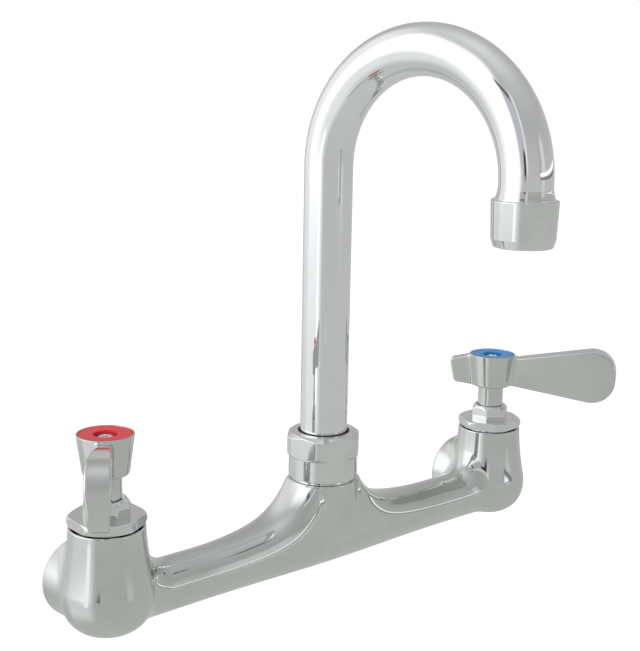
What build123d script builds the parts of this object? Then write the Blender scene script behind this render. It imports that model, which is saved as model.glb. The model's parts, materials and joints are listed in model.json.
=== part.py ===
"""Wall faucet with two quarter-turn valves and a swinging gooseneck spout.

Millimetres and degrees. +X runs from the hot valve to the cold valve, +Y into the wall and +Z up.
The origin lies in the wall plane, midway between the two inlets, at the height of their axes.
A heading is measured from straight out of the wall, positive towards the cold side.
"""

import math
import os
from build123d import *

# ---- Driving dimensions ----

# Body casting
valve_spacing = 203.2  # hot valve axis to cold valve axis
wall_distance = 21.0  # wall face to the plane of the valve axes
ball_radius = 17.0  # round bottom of each valve column
column_top = 25.6  # height of the column's rim
column_rim_radius = 13.85
column_flank_start = 3.5  # height where the flank leaves the ball
column_hollow = 0.5  # how far the flank bows inwards
boss_rim_radius = 15.8  # inlet boss at the wall
boss_root_radius = 14.6
boss_rim_length = 3.0
boss_edge_round = 1.5
arm_drop = 3.3  # arm axis below the inlet axis
arm_radius = 10.1  # arm beside a column
arm_middle_radius = 10.6  # arm under the neck
arm_fillet = 8.0  # arm into column
flare_half_width = 12.6  # the neck's flare, across the arm
flare_reach = 60.0  # where the flare has sunk into the arm
flare_bend = 21.0  # its two inner control points, from the middle
flare_run = 36.0
flare_bend_share = 0.42  # their heights, as shares of the fall from neck to arm
flare_run_share = 0.04
flare_sink = 0.3  # how deep the flare's far end lies in the arm
flare_start = -0.15  # where along its curve the flare's first section lies, inside the neck
flare_stations = (0.08, 0.25, 0.45, 0.65, 0.85, 1.0)  # the sections that follow
neck_top = 22.5
neck_radius = 14.2
neck_belly_radius = 14.4
neck_belly_height = 9.0
neck_foot_radius = 12.2

# Waterways
inlet_bore_radius = 9.15  # tapping size of a half-inch pipe thread
inlet_bore_depth = 10.0
sump_radius = 3.0  # drilling that leads the water from the inlet to the underside of the seat
sump_overrun = 1.5  # past the seat's hole
sump_start_depth = 3.0
seat_hole_radius = 3.5
seat_floor = 1.7
waterway_radius = 5.0
waterway_sill = 0.1  # the waterway's floor above the seat
mixing_radius = 7.5
spigot_room = 1.0

# Spout
spout_heading = 7.85  # photographed swing
tube_radius = 9.525
tube_wall = 1.2
bend_radius = 44.45
riser_top = 148.4
tube_below_bend = 14.4
nipple_radius = 11.9
nipple_height = 8.5
spigot_radius = 9.0
spigot_depth = 18.0
spigot_bore_radius = 6.8
spigot_stub = 8.0
flange_radius = 11.6
flange_thickness = 2.5
thrust_washer_thickness = 0.75
spigot_ring_section = 0.72  # radius of the round section
spigot_ring_heights = (5.0, 11.0)  # above the spigot's foot

# Swivel nut
nut_gap = 1.0  # shadow gap between the neck and the nut
nut_skirt_radius = 14.0
nut_skirt_height = 8.9
nut_hex_height = 9.7
nut_hex_radius = 15.4
nut_half_flats = 14.25
nut_chamfer = 2.2
nut_chamfer_height = 1.6
nut_foot_chamfer = 1.2
nut_foot_chamfer_height = 1.3
nut_corner_heading = 15.0
nut_mouth_radius = 9.95
tube_ring_section = 0.6
tube_ring_sink = 0.45  # ring centre below the nut's top

# Outlet
outlet_drop = 21.9  # end of the bend to the outlet's lower edge
housing_height = 16.4
housing_top_radius = 11.8
housing_foot_radius = 11.3
housing_mouth_radius = 10.45
housing_chamfer = 3.0
ferrule_radius = 10.4
ferrule_lip = 1.6
collar_radius = 10.6
collar_top_radius = 9.75
collar_height = 3.5
collar_hollow = 0.3
insert_radius = 9.5
insert_height = 2.9
insert_hole_radius = 0.7
insert_hole_circles = {1: 0.0, 6: 3.2, 12: 6.2}  # how many holes on which radius
housing_lip_radius = 8.6
housing_lip = 1.5
screen_thickness = 0.35
washer_thickness = 0.95
washer_inner_radius = 7.6

# Valve cartridge
seat_height = -5.3
cartridge_radius = 8.4
sleeve_wall = 1.2  # sleeve round the discs
sleeve_gap = 0.9  # seat to the sleeve's foot
cartridge_roof = 6.0  # height where the sleeve closes in on the stem
shoulder_height = 12.0
shoulder_radius = 10.2
shoulder_thickness = 3.0
cartridge_neck_radius = 7.4
cartridge_thread_radius = 6.0
cartridge_ring_height = 9.0
seat_washer_height = 2.0
disc_thickness = 2.5
disc_slot_depth = 0.8
disc_port_inner = 2.2
disc_port_outer = 5.6
disc_port_angle = 70.0
foot_width = 6.0
window_width = 6.0
window_foot = 1.0
window_top = 5.5
small_ring_section = 0.45
ring_play = 0.3  # extra height of every ring groove

# Lock nut and packing nut
lock_nut_gap = 0.6
lock_nut_radius = 14.2
lock_nut_foot_radius = 13.7
lock_nut_belly = 2.0  # height of the widest place above the nut's foot
lock_nut_half_flats = 13.2
lock_nut_height = 4.8
lock_nut_top_radius = 12.6
lock_nut_shoulder = 1.3  # height of the sloped edge below the nut's top
lock_nut_corner_headings = {"hot": 0.0, "cold": -27.5}
packing_nut_foot_radius = 8.5
packing_nut_top_radius = 7.5
packing_nut_half_flats = 7.45
packing_nut_height = 4.9
packing_nut_barrel = 2.0  # how far its barrel reaches down into the lock nut
packing_nut_roof = 0.9
packing_nut_well = 1.3
packing_nut_corner_headings = {"hot": -6.0, "cold": 3.0}
packing_height = 1.1

# Handles
handle_heading = 34.0  # photographed swing, each towards its own side
stem_radius = 4.2
broach_width = 7.0
broach_length = 8.0
stem_ring_height = 21.0
skirt_lift = 0.5  # handle skirt above the floor of the packing nut's well
skirt_radius = 5.6
skirt_well_gap = 0.6  # between the skirt and the wall of the well
skirt_length = 9.5
hub_foot_radius = 8.3
hub_rim_radius = 10.34
hub_height = 14.87
hub_chamfer = 1.0
hub_web = 3.3  # metal between the stem's top and the screw's head
index_rim = 0.7  # rim of metal left round the index ring
index_recess = 2.2
index_thickness = 2.0
index_hole_radius = 3.9
screw_head_radius = 3.4
screw_head_height = 2.1
screw_shank_radius = 1.9
screw_length = 11.0
screw_slot_width = 0.9
screw_slot_length = 4.2
screw_slot_depth = 1.2
screw_hole_spare = 1.0
blade_reach = 55.5
blade_reach_foot = 54.9
blade_root_half_thickness = 2.7
blade_tip_half_thickness = 4.5
blade_root_top = 13.1  # heights above the hub's foot
blade_tip_top = 22.1
blade_tip_foot = -5.5
blade_root_foot = 2.2
blade_corner = 10.0
blade_edge = 1.1
tail_half_thickness = 3.0
tail_reach = 19.2
tail_reach_foot = 17.0
tail_root_top = 13.9
tail_shoulder_top = 14.6
tail_tip_top = 11.8
tail_tip_foot = 0.9
tail_root_foot = 0.1
tail_shoulder = 8.5

# Clearances
running_clearance = 0.06
thread_clearance = 0.1
braze_gap = 0.05
film = 0.05

# ---- Sizes that follow ----

half_spacing = valve_spacing / 2
valve_plane = -wall_distance
arm_axis = -arm_drop
arm_crest = arm_axis + arm_radius
arm_end = half_spacing - ball_radius / 2  # inside the column
waterway_axis = seat_height + waterway_sill + waterway_radius
sump_axis = seat_height - seat_floor - sump_radius
seat_bore_radius = cartridge_radius + thread_clearance
shoulder_bore_radius = shoulder_radius + 2 * thread_clearance
lock_thread_radius = shoulder_bore_radius - thread_clearance
lock_thread_foot = shoulder_height + shoulder_thickness

spout_bore_radius = spigot_radius + running_clearance
nipple_top = neck_top + nipple_height
spigot_foot = nipple_top - spigot_depth
flange_foot = nipple_top + thrust_washer_thickness + film
flange_top = flange_foot + flange_thickness
tube_bore_radius = tube_radius - tube_wall
spigot_ring_inner = spigot_radius - 2 * spigot_ring_section
nut_foot = neck_top + nut_gap
nut_hex_foot = nut_foot + nut_skirt_height
nut_top = nut_hex_foot + nut_hex_height
nut_thread_radius = max(nipple_radius, flange_radius) + thread_clearance
tube_ring_inner = tube_radius + running_clearance
tube_ring_axis = nut_top - tube_ring_sink

outlet_foot = riser_top - outlet_drop
housing_top = outlet_foot + housing_height
tube_foot = riser_top - tube_below_bend
ferrule_foot = tube_foot - ferrule_lip
insert_foot = outlet_foot + housing_lip + film
insert_top = insert_foot + insert_height
housing_bore_radius = ferrule_radius + thread_clearance

sleeve_radius = cartridge_radius - sleeve_wall
sleeve_foot = seat_height + sleeve_gap
fixed_disc_foot = seat_height + seat_washer_height
fixed_disc_top = fixed_disc_foot + disc_thickness
moving_disc_foot = fixed_disc_top + film
moving_disc_top = moving_disc_foot + disc_thickness
slot_floor = moving_disc_top - disc_slot_depth
moving_disc_radius = sleeve_radius - 2 * thread_clearance
foot_radius = moving_disc_radius - thread_clearance
stem_bore_radius = stem_radius + running_clearance
stem_ring_inner = stem_radius - 2 * small_ring_section
cartridge_ring_inner = cartridge_radius - 2 * small_ring_section

lock_nut_foot = column_top + lock_nut_gap
lock_nut_top = lock_nut_foot + lock_nut_height
lock_nut_hole_radius = cartridge_neck_radius + thread_clearance
packing_nut_top = lock_nut_top + packing_nut_height
packing_well_floor = packing_nut_top - packing_nut_well
packing_roof_foot = packing_well_floor - packing_nut_roof
packing_nut_foot = lock_nut_top - packing_nut_barrel
packing_nut_bore = cartridge_thread_radius + thread_clearance
cartridge_top = packing_roof_foot - packing_height - film

skirt_foot = packing_well_floor + skirt_lift
skirt_well_radius = skirt_radius + skirt_well_gap
hub_foot = skirt_foot + skirt_length
hub_top = hub_foot + hub_height
index_floor = hub_top - index_recess
index_recess_radius = hub_rim_radius - index_rim
screw_seat = index_floor - screw_head_height - film
stem_top = screw_seat - hub_web
stem_foot = slot_floor + film

sides = {"hot": -1, "cold": 1}

os.makedirs("parts", exist_ok=True)


# ---- Helpers ----


def direction(heading):
    """Level unit vector at a heading."""
    angle = math.radians(heading)
    return Vector(math.sin(angle), -math.cos(angle), 0)


def level_plane(x, y, height, heading=0.0):
    """Level plane at a height, its own X along the heading."""
    return Plane(origin=(x, y, height), x_dir=direction(heading), z_dir=(0, 0, 1))


def upright_plane(x, heading=90.0):
    """Upright plane through a valve or spout axis: its own X along the heading, its own Y up."""
    along = direction(heading)
    return Plane(origin=(x, valve_plane, 0), x_dir=along, z_dir=(along.Y, -along.X, 0))


def cross_plane(x, height):
    """Upright plane across the arms, centred on the valve plane at a height."""
    return Plane(origin=(x, valve_plane, height), x_dir=(0, 1, 0), z_dir=(1, 0, 0))


def turn(outline, x=0.0, y=valve_plane, mode=Mode.ADD):
    """Turn an outline of (radius, height) points about the upright axis through (x, y)."""
    with BuildSketch(Plane(origin=(x, y, 0), x_dir=(1, 0, 0), z_dir=(0, -1, 0))) as profile:
        with BuildLine():
            Polyline(*outline, close=True)
        make_face()
    revolve(profile.sketch, axis=Axis((x, y, 0), (0, 0, 1)), mode=mode)


def ring(inner, outer, foot, top, x=0.0, y=valve_plane, mode=Mode.ADD):
    """A plain ring, or a disc if inner is 0, about an upright axis."""
    turn([(inner, foot), (outer, foot), (outer, top), (inner, top)], x, y, mode)


def round_ring(inner, section, height, x=0.0):
    """A rubber ring of round section about an upright axis."""
    with BuildSketch(Plane(origin=(x, valve_plane, 0), x_dir=(1, 0, 0), z_dir=(0, -1, 0))) as profile:
        with Locations((inner + section, height)):
            Circle(section)
    revolve(profile.sketch, axis=Axis((x, valve_plane, 0), (0, 0, 1)))


def ring_groove(inner, section, height, outer, x=0.0):
    """Cut the groove that a rubber ring of round section lies in."""
    reach = section + ring_play / 2
    ring(inner - film, outer + film, height - reach, height + reach, x, mode=Mode.SUBTRACT)


def hexagon(half_flats, foot, top, x, corner_heading):
    """Keep only what lies inside a hexagonal prism with one corner at the heading."""
    with BuildSketch(level_plane(x, valve_plane, foot, corner_heading)) as profile:
        RegularPolygon(half_flats, 6, major_radius=False)
    extrude(profile.sketch, amount=top - foot, mode=Mode.INTERSECT)


def flatted(radius, length, width, foot, top, x, heading=90.0, mode=Mode.ADD):
    """A round bar cut to a length and a width, about an upright axis."""
    with BuildSketch(level_plane(x, valve_plane, foot, heading)) as profile:
        Circle(radius)
        Rectangle(length, width, mode=Mode.INTERSECT)
    extrude(profile.sketch, amount=top - foot, mode=mode)


def disc_ports(foot, top, x, heading):
    """Cut the two opposite sector ports of a ceramic disc."""
    start = -disc_port_angle / 2
    with BuildSketch(level_plane(x, valve_plane, foot, heading)) as ports:
        with BuildLine():
            outer = CenterArc((0, 0), disc_port_outer, start, disc_port_angle)
            inner = CenterArc((0, 0), disc_port_inner, start, disc_port_angle)
            Line(outer @ 0, inner @ 0)
            Line(outer @ 1, inner @ 1)
        make_face()
        mirror(about=Plane.YZ)
    extrude(ports.sketch, amount=top - foot, mode=Mode.SUBTRACT)


def save(piece, name):
    """Label a finished piece and write it to its own file."""
    piece.part.label = name
    export_step(piece.part, f"parts/{name}.step")


# ---- Body casting ----


def half_arm():
    """The round arm from the middle of the casting into the cold column."""
    with BuildPart() as arm:
        with BuildSketch(upright_plane(0)):
            with BuildLine():
                Polyline(
                    (0, arm_axis),
                    (arm_end, arm_axis),
                    (arm_end, arm_crest),
                    (0, arm_axis + arm_middle_radius),
                    close=True,
                )
            make_face()
        revolve(axis=Axis((0, valve_plane, arm_axis), (1, 0, 0)))
    return arm.part


def flare_point(t):
    """Point (x, height) at t on the curve where the neck's flare runs down into the arm."""
    foot = arm_crest - flare_sink
    fall = neck_top - foot
    weights = ((1 - t) ** 3, 3 * t * (1 - t) ** 2, 3 * t**2 * (1 - t), t**3)
    across = (neck_radius, flare_bend, flare_run, flare_reach)
    heights = (neck_top, foot + flare_bend_share * fall, foot + flare_run_share * fall, foot)
    return sum(w * a for w, a in zip(weights, across)), sum(w * h for w, h in zip(weights, heights))


def half_flare():
    """The hump that runs from the neck down onto the cold arm, cut off level with the neck's top."""
    inside_neck = flare_point(flare_start)
    stations = [(0.0, inside_neck[1]), inside_neck]
    stations += [flare_point(t) for t in flare_stations]
    with BuildPart() as flare:
        sections = []
        for x, crest in stations:
            far = x / flare_reach
            half_width = flare_half_width + (arm_radius - flare_sink - flare_half_width) * far
            with BuildSketch(cross_plane(x, arm_axis)) as section:
                with BuildLine():
                    EllipticalCenterArc((0, 0), half_width, crest - arm_axis, 0, arc_size=180)
                    EllipticalCenterArc((0, 0), half_width, arm_radius - flare_sink, 180, arc_size=180)
                make_face()
            sections.append(section.sketch)
        loft(sections)
        split(bisect_by=Plane.XY.offset(neck_top), keep=Keep.BOTTOM)
    return flare.part


def column():
    """The cold valve's column: a hollow-flanked cone on a ball."""
    flank_radius = math.sqrt(ball_radius**2 - column_flank_start**2)
    lift = math.degrees(math.asin(column_flank_start / ball_radius))
    with BuildPart() as solid:
        with BuildSketch(upright_plane(half_spacing)):
            with BuildLine():
                rim = (column_rim_radius, column_top)
                Line((0, column_top), rim)
                SagittaArc(rim, (flank_radius, column_flank_start), -column_hollow)
                CenterArc((0, 0), ball_radius, -90, 90 + lift)
                Line((0, -ball_radius), (0, column_top))
            make_face()
        revolve(axis=Axis((half_spacing, valve_plane, 0), (0, 0, 1)))
    return solid.part


def boss():
    """The cold inlet's boss, from the column back to the wall."""
    rim = half_spacing + boss_rim_radius
    with BuildPart() as solid:
        with BuildSketch(Plane.XY):
            with BuildLine():
                Polyline(
                    (half_spacing, 0),
                    (rim, 0),
                    (rim, -boss_rim_length),
                    (half_spacing + boss_root_radius, valve_plane),
                    (half_spacing, valve_plane),
                    close=True,
                )
            make_face()
        revolve(axis=Axis((half_spacing, 0, 0), (0, 1, 0)))
        fillet(solid.edges().filter_by(GeomType.CIRCLE).sort_by(Axis.Y)[-1], boss_edge_round)
    return solid.part


def drill(radius, x, start, end, height):
    """Drill along Y from start to end."""
    with BuildSketch(Plane(origin=(x, start, height), x_dir=(1, 0, 0), z_dir=(0, -1, 0))) as hole:
        Circle(radius)
    extrude(hole.sketch, amount=start - end, mode=Mode.SUBTRACT)


with BuildPart() as faucet_body:
    add(half_arm())
    add(column())
    fillet(faucet_body.edges(Select.NEW), arm_fillet)
    add(boss())
    add(half_flare())
    mirror(about=Plane.YZ)
    turn(
        [
            (0, neck_top),
            (neck_radius, neck_top),
            (neck_belly_radius, neck_belly_height),
            (neck_foot_radius, arm_axis),
            (0, arm_axis),
        ]
    )
    ring(0, nipple_radius, neck_top, nipple_top)
    # The waterway along both arms, the mixing chamber and the spout's bore
    with BuildSketch(cross_plane(0, waterway_axis)) as waterway:
        Circle(waterway_radius)
    extrude(waterway.sketch, amount=half_spacing - seat_bore_radius / 2, both=True, mode=Mode.SUBTRACT)
    ring(0, mixing_radius, waterway_axis, nipple_top, mode=Mode.SUBTRACT)
    ring(0, spout_bore_radius, spigot_foot - spigot_room, nipple_top, mode=Mode.SUBTRACT)
    for side in sides.values():
        x = side * half_spacing
        ring(0, seat_bore_radius, seat_height, column_top, x, mode=Mode.SUBTRACT)
        ring(0, shoulder_bore_radius, shoulder_height, column_top, x, mode=Mode.SUBTRACT)
        ring(0, seat_hole_radius, sump_axis, seat_height, x, mode=Mode.SUBTRACT)
        drill(inlet_bore_radius, x, 0, -inlet_bore_depth, 0)
        drill(sump_radius, x, -sump_start_depth, valve_plane - seat_hole_radius - sump_overrun, sump_axis)
save(faucet_body, "faucet_body")


# ---- Swivel nut and its rings ----

with BuildPart() as swivel_nut:
    turn(
        [
            (0, nut_hex_foot),
            (nut_hex_radius - nut_foot_chamfer, nut_hex_foot),
            (nut_hex_radius, nut_hex_foot + nut_foot_chamfer_height),
            (nut_hex_radius, nut_top - nut_chamfer_height),
            (nut_hex_radius - nut_chamfer, nut_top),
            (0, nut_top),
        ]
    )
    hexagon(nut_half_flats, nut_hex_foot, nut_top, 0.0, nut_corner_heading)
    ring(0, nut_skirt_radius, nut_foot, nut_hex_foot)
    ring(0, nut_thread_radius, nut_foot, flange_top + thread_clearance, mode=Mode.SUBTRACT)
    ring(0, nut_mouth_radius, nut_foot, nut_top, mode=Mode.SUBTRACT)
    tube_ring_outer = tube_ring_inner + 2 * tube_ring_section
    ring(0, tube_ring_outer + film, tube_ring_axis - tube_ring_section - film, nut_top, mode=Mode.SUBTRACT)
save(swivel_nut, "swivel_nut")

with BuildPart() as tube_ring:
    round_ring(tube_ring_inner, tube_ring_section, tube_ring_axis)
save(tube_ring, "tube_ring")

with BuildPart() as thrust_washer:
    ring(spout_bore_radius, flange_radius, nipple_top, nipple_top + thrust_washer_thickness)
save(thrust_washer, "thrust_washer")


# ---- Spout ----

outlet = Vector(0, valve_plane, 0) + direction(spout_heading) * (2 * bend_radius)

with BuildPart() as spout_tube:
    with BuildLine(upright_plane(0, spout_heading)) as gooseneck:
        Line((0, flange_top), (0, riser_top))
        CenterArc((bend_radius, riser_top), bend_radius, 180, -180)
        Line((2 * bend_radius, riser_top), (2 * bend_radius, tube_foot))
    with BuildSketch(level_plane(0, valve_plane, flange_top)) as tube_section:
        Circle(tube_radius)
        Circle(tube_bore_radius, mode=Mode.SUBTRACT)
    sweep(tube_section.sketch, path=gooseneck.line)
save(spout_tube, "spout_tube")

with BuildPart() as spout_spigot:
    ring(0, spigot_radius, spigot_foot, flange_foot)
    ring(0, flange_radius, flange_foot, flange_top)
    ring(0, tube_bore_radius - braze_gap, flange_top, flange_top + spigot_stub)
    ring(0, spigot_bore_radius, spigot_foot, flange_top + spigot_stub, mode=Mode.SUBTRACT)
    for height in spigot_ring_heights:
        ring_groove(spigot_ring_inner, spigot_ring_section, spigot_foot + height, spigot_radius)
save(spout_spigot, "spout_spigot")

with BuildPart() as spigot_rings:
    for height in spigot_ring_heights:
        round_ring(spigot_ring_inner, spigot_ring_section, spigot_foot + height)
save(spigot_rings, "spigot_rings")

with BuildPart() as outlet_ferrule:
    with BuildSketch(upright_plane(0)) as ferrule_outline:
        with BuildLine():
            Polyline(
                (tube_radius + braze_gap, housing_top + collar_height),
                (tube_radius + braze_gap, tube_foot),
                (tube_bore_radius, tube_foot),
                (tube_bore_radius, ferrule_foot),
                (ferrule_radius, ferrule_foot),
                (ferrule_radius, housing_top),
                (collar_radius, housing_top),
            )
            SagittaArc(
                (collar_radius, housing_top), (collar_top_radius, housing_top + collar_height), collar_hollow
            )
            Line(
                (collar_top_radius, housing_top + collar_height),
                (tube_radius + braze_gap, housing_top + collar_height),
            )
        make_face()
    revolve(ferrule_outline.sketch, axis=Axis((0, valve_plane, 0), (0, 0, 1)))
outlet_ferrule.part.position = outlet - Vector(0, valve_plane, 0)
save(outlet_ferrule, "outlet_ferrule")

with BuildPart() as aerator_housing:
    turn(
        [
            (housing_lip_radius, outlet_foot),
            (housing_mouth_radius, outlet_foot),
            (housing_foot_radius, outlet_foot + housing_chamfer),
            (housing_top_radius, housing_top),
            (housing_bore_radius, housing_top),
            (housing_bore_radius, insert_top),
            (insert_radius + thread_clearance, insert_top),
            (insert_radius + thread_clearance, outlet_foot + housing_lip),
            (housing_lip_radius, outlet_foot + housing_lip),
        ],
        outlet.X,
        outlet.Y,
    )
save(aerator_housing, "aerator_housing")

with BuildPart() as aerator_insert:
    ring(0, insert_radius, insert_foot, insert_top, outlet.X, outlet.Y)
    with BuildSketch(level_plane(outlet.X, outlet.Y, insert_foot)) as insert_holes:
        for count, radius in insert_hole_circles.items():
            with PolarLocations(radius, count):
                Circle(insert_hole_radius)
    extrude(insert_holes.sketch, amount=insert_height, mode=Mode.SUBTRACT)
save(aerator_insert, "aerator_insert")

screen_top = insert_top + film + screen_thickness
with BuildPart() as aerator_screen:
    ring(0, insert_radius, insert_top + film, screen_top, outlet.X, outlet.Y)
save(aerator_screen, "aerator_screen")

with BuildPart() as aerator_washer:
    washer_outer_radius = housing_bore_radius - thread_clearance
    ring(
        washer_inner_radius,
        washer_outer_radius,
        ferrule_foot - washer_thickness,
        ferrule_foot,
        outlet.X,
        outlet.Y,
    )
save(aerator_washer, "aerator_washer")


# ---- Valves ----


def make_cartridge(name, x):
    """The fixed pieces of one valve, from the seat up to the packing."""
    with BuildPart() as cartridge_body:
        turn(
            [
                (stem_bore_radius, cartridge_roof),
                (sleeve_radius, cartridge_roof),
                (sleeve_radius, sleeve_foot),
                (cartridge_radius, sleeve_foot),
                (cartridge_radius, shoulder_height),
                (shoulder_radius, shoulder_height),
                (shoulder_radius, lock_thread_foot),
                (cartridge_neck_radius, lock_thread_foot),
                (cartridge_neck_radius, packing_nut_foot),
                (cartridge_thread_radius, packing_nut_foot),
                (cartridge_thread_radius, cartridge_top),
                (stem_bore_radius, cartridge_top),
            ],
            x,
        )
        ring_groove(cartridge_ring_inner, small_ring_section, cartridge_ring_height, cartridge_radius, x)
        window_height = window_top - window_foot
        past_barrel = 4 * cartridge_radius
        with BuildSketch(level_plane(x, valve_plane, window_foot)) as windows:
            Rectangle(past_barrel, window_width)
            Rectangle(window_width, past_barrel)
            Circle(sleeve_radius - film, mode=Mode.SUBTRACT)
        extrude(windows.sketch, amount=window_height, mode=Mode.SUBTRACT)
    save(cartridge_body, f"{name}_cartridge_body")

    with BuildPart() as cartridge_ring:
        round_ring(cartridge_ring_inner, small_ring_section, cartridge_ring_height, x)
    save(cartridge_ring, f"{name}_cartridge_ring")

    with BuildPart() as seat_washer:
        ring(seat_hole_radius + film, sleeve_radius - thread_clearance, seat_height, fixed_disc_foot, x)
    save(seat_washer, f"{name}_seat_washer")

    with BuildPart() as fixed_disc:
        ring(0, sleeve_radius - thread_clearance, fixed_disc_foot, fixed_disc_top, x)
        disc_ports(fixed_disc_foot, fixed_disc_top, x, 90.0)
    save(fixed_disc, f"{name}_fixed_disc")

    with BuildPart() as packing:
        packing_radius = packing_nut_bore - thread_clearance
        ring(stem_bore_radius, packing_radius, cartridge_top, packing_roof_foot - film, x)
    save(packing, f"{name}_packing")


def make_nuts(name, x):
    """The lock nut that clamps the cartridge and the packing nut on top of it."""
    with BuildPart() as lock_nut:
        turn(
            [
                (0, lock_nut_foot),
                (lock_nut_foot_radius, lock_nut_foot),
                (lock_nut_radius, lock_nut_foot + lock_nut_belly),
                (lock_nut_radius, lock_nut_top - lock_nut_shoulder),
                (lock_nut_top_radius, lock_nut_top),
                (0, lock_nut_top),
            ],
            x,
        )
        hexagon(lock_nut_half_flats, lock_nut_foot, lock_nut_top, x, lock_nut_corner_headings[name])
        ring(0, lock_thread_radius, lock_thread_foot, lock_nut_foot, x)
        ring(0, lock_nut_hole_radius, lock_thread_foot, lock_nut_top, x, mode=Mode.SUBTRACT)
    save(lock_nut, f"{name}_lock_nut")

    with BuildPart() as packing_nut:
        turn(
            [
                (0, lock_nut_top),
                (packing_nut_foot_radius, lock_nut_top),
                (packing_nut_top_radius, packing_nut_top),
                (0, packing_nut_top),
            ],
            x,
        )
        packing_corner = packing_nut_corner_headings[name]
        hexagon(packing_nut_half_flats, lock_nut_top, packing_nut_top, x, packing_corner)
        ring(0, cartridge_neck_radius, packing_nut_foot, lock_nut_top, x)
        ring(0, packing_nut_bore, packing_nut_foot, packing_roof_foot, x, mode=Mode.SUBTRACT)
        packing_nut_eye = stem_radius + 2 * thread_clearance
        ring(0, packing_nut_eye, packing_roof_foot, packing_well_floor, x, mode=Mode.SUBTRACT)
        ring(0, skirt_well_radius, packing_well_floor, packing_nut_top, x, mode=Mode.SUBTRACT)
    save(packing_nut, f"{name}_packing_nut")


def make_stem(name, x, heading):
    """The turning pieces inside one valve: stem, stem ring and moving disc."""
    with BuildPart() as stem:
        ring(0, stem_radius, moving_disc_top + film, stem_top, x)
        with BuildSketch(level_plane(x, valve_plane, stem_top - broach_length, heading)) as broach:
            Circle(2 * stem_radius)
            Rectangle(broach_width, broach_width, mode=Mode.SUBTRACT)
        extrude(broach.sketch, amount=broach_length, mode=Mode.SUBTRACT)
        flatted(foot_radius, 2 * foot_radius, foot_width, stem_foot, cartridge_roof - film, x)
        ring_groove(stem_ring_inner, small_ring_section, stem_ring_height, stem_radius, x)
        tapped_radius = screw_shank_radius + film
        tapped_foot = screw_seat - screw_length - screw_hole_spare
        ring(0, tapped_radius, tapped_foot, stem_top, x, mode=Mode.SUBTRACT)
    save(stem, f"{name}_stem")

    with BuildPart() as stem_ring:
        round_ring(stem_ring_inner, small_ring_section, stem_ring_height, x)
    save(stem_ring, f"{name}_stem_ring")

    with BuildPart() as moving_disc:
        ring(0, moving_disc_radius, moving_disc_foot, moving_disc_top, x)
        disc_ports(moving_disc_foot, moving_disc_top, x, 0.0)
        slot_length = 2 * moving_disc_radius
        slot_width = foot_width + 2 * film
        flatted(slot_length, 2 * slot_length, slot_width, slot_floor, moving_disc_top, x, mode=Mode.SUBTRACT)
    save(moving_disc, f"{name}_moving_disc")


# ---- Handles ----


def blade(x, heading):
    """The long flat blade, from the valve axis outwards."""
    with BuildPart() as solid:
        with BuildSketch(upright_plane(x, heading)) as side_view:
            with BuildLine():
                Polyline(
                    (0, hub_foot + blade_root_top),
                    (blade_reach, hub_foot + blade_tip_top),
                    (blade_reach_foot, hub_foot + blade_tip_foot),
                    (0, hub_foot + blade_root_foot),
                    close=True,
                )
            make_face()
            fillet(side_view.vertices().sort_by(Axis.X)[-2:], blade_corner)
        past_cheeks = 2 * blade_tip_half_thickness
        extrude(amount=past_cheeks, both=True)
        with BuildSketch(level_plane(x, valve_plane, hub_foot, heading)) as plan:
            with BuildLine():
                Polyline(
                    (0, -blade_root_half_thickness),
                    (blade_reach, -blade_tip_half_thickness),
                    (blade_reach, blade_tip_half_thickness),
                    (0, blade_root_half_thickness),
                    close=True,
                )
            make_face()
        extrude(plan.sketch, amount=hub_height + blade_reach, both=True, mode=Mode.INTERSECT)
        cheeks = solid.faces().sort_by(SortBy.AREA)[-2:]
        fillet(cheeks[0].edges() + cheeks[1].edges(), blade_edge)
    return solid.part


def tail(x, heading):
    """The short tail behind the hub."""
    with BuildPart() as solid:
        with BuildSketch(upright_plane(x, heading)):
            with BuildLine():
                Polyline(
                    (0, hub_foot + tail_root_top),
                    (-tail_shoulder, hub_foot + tail_shoulder_top),
                    (-tail_reach, hub_foot + tail_tip_top),
                    (-tail_reach_foot, hub_foot + tail_tip_foot),
                    (-tail_shoulder, hub_foot + tail_root_foot),
                    (0, hub_foot + tail_root_foot),
                    close=True,
                )
            make_face()
        extrude(amount=tail_half_thickness, both=True)
        cheeks = solid.faces().sort_by(SortBy.AREA)[-2:]
        fillet(cheeks[0].edges() + cheeks[1].edges(), blade_edge)
    return solid.part


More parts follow.
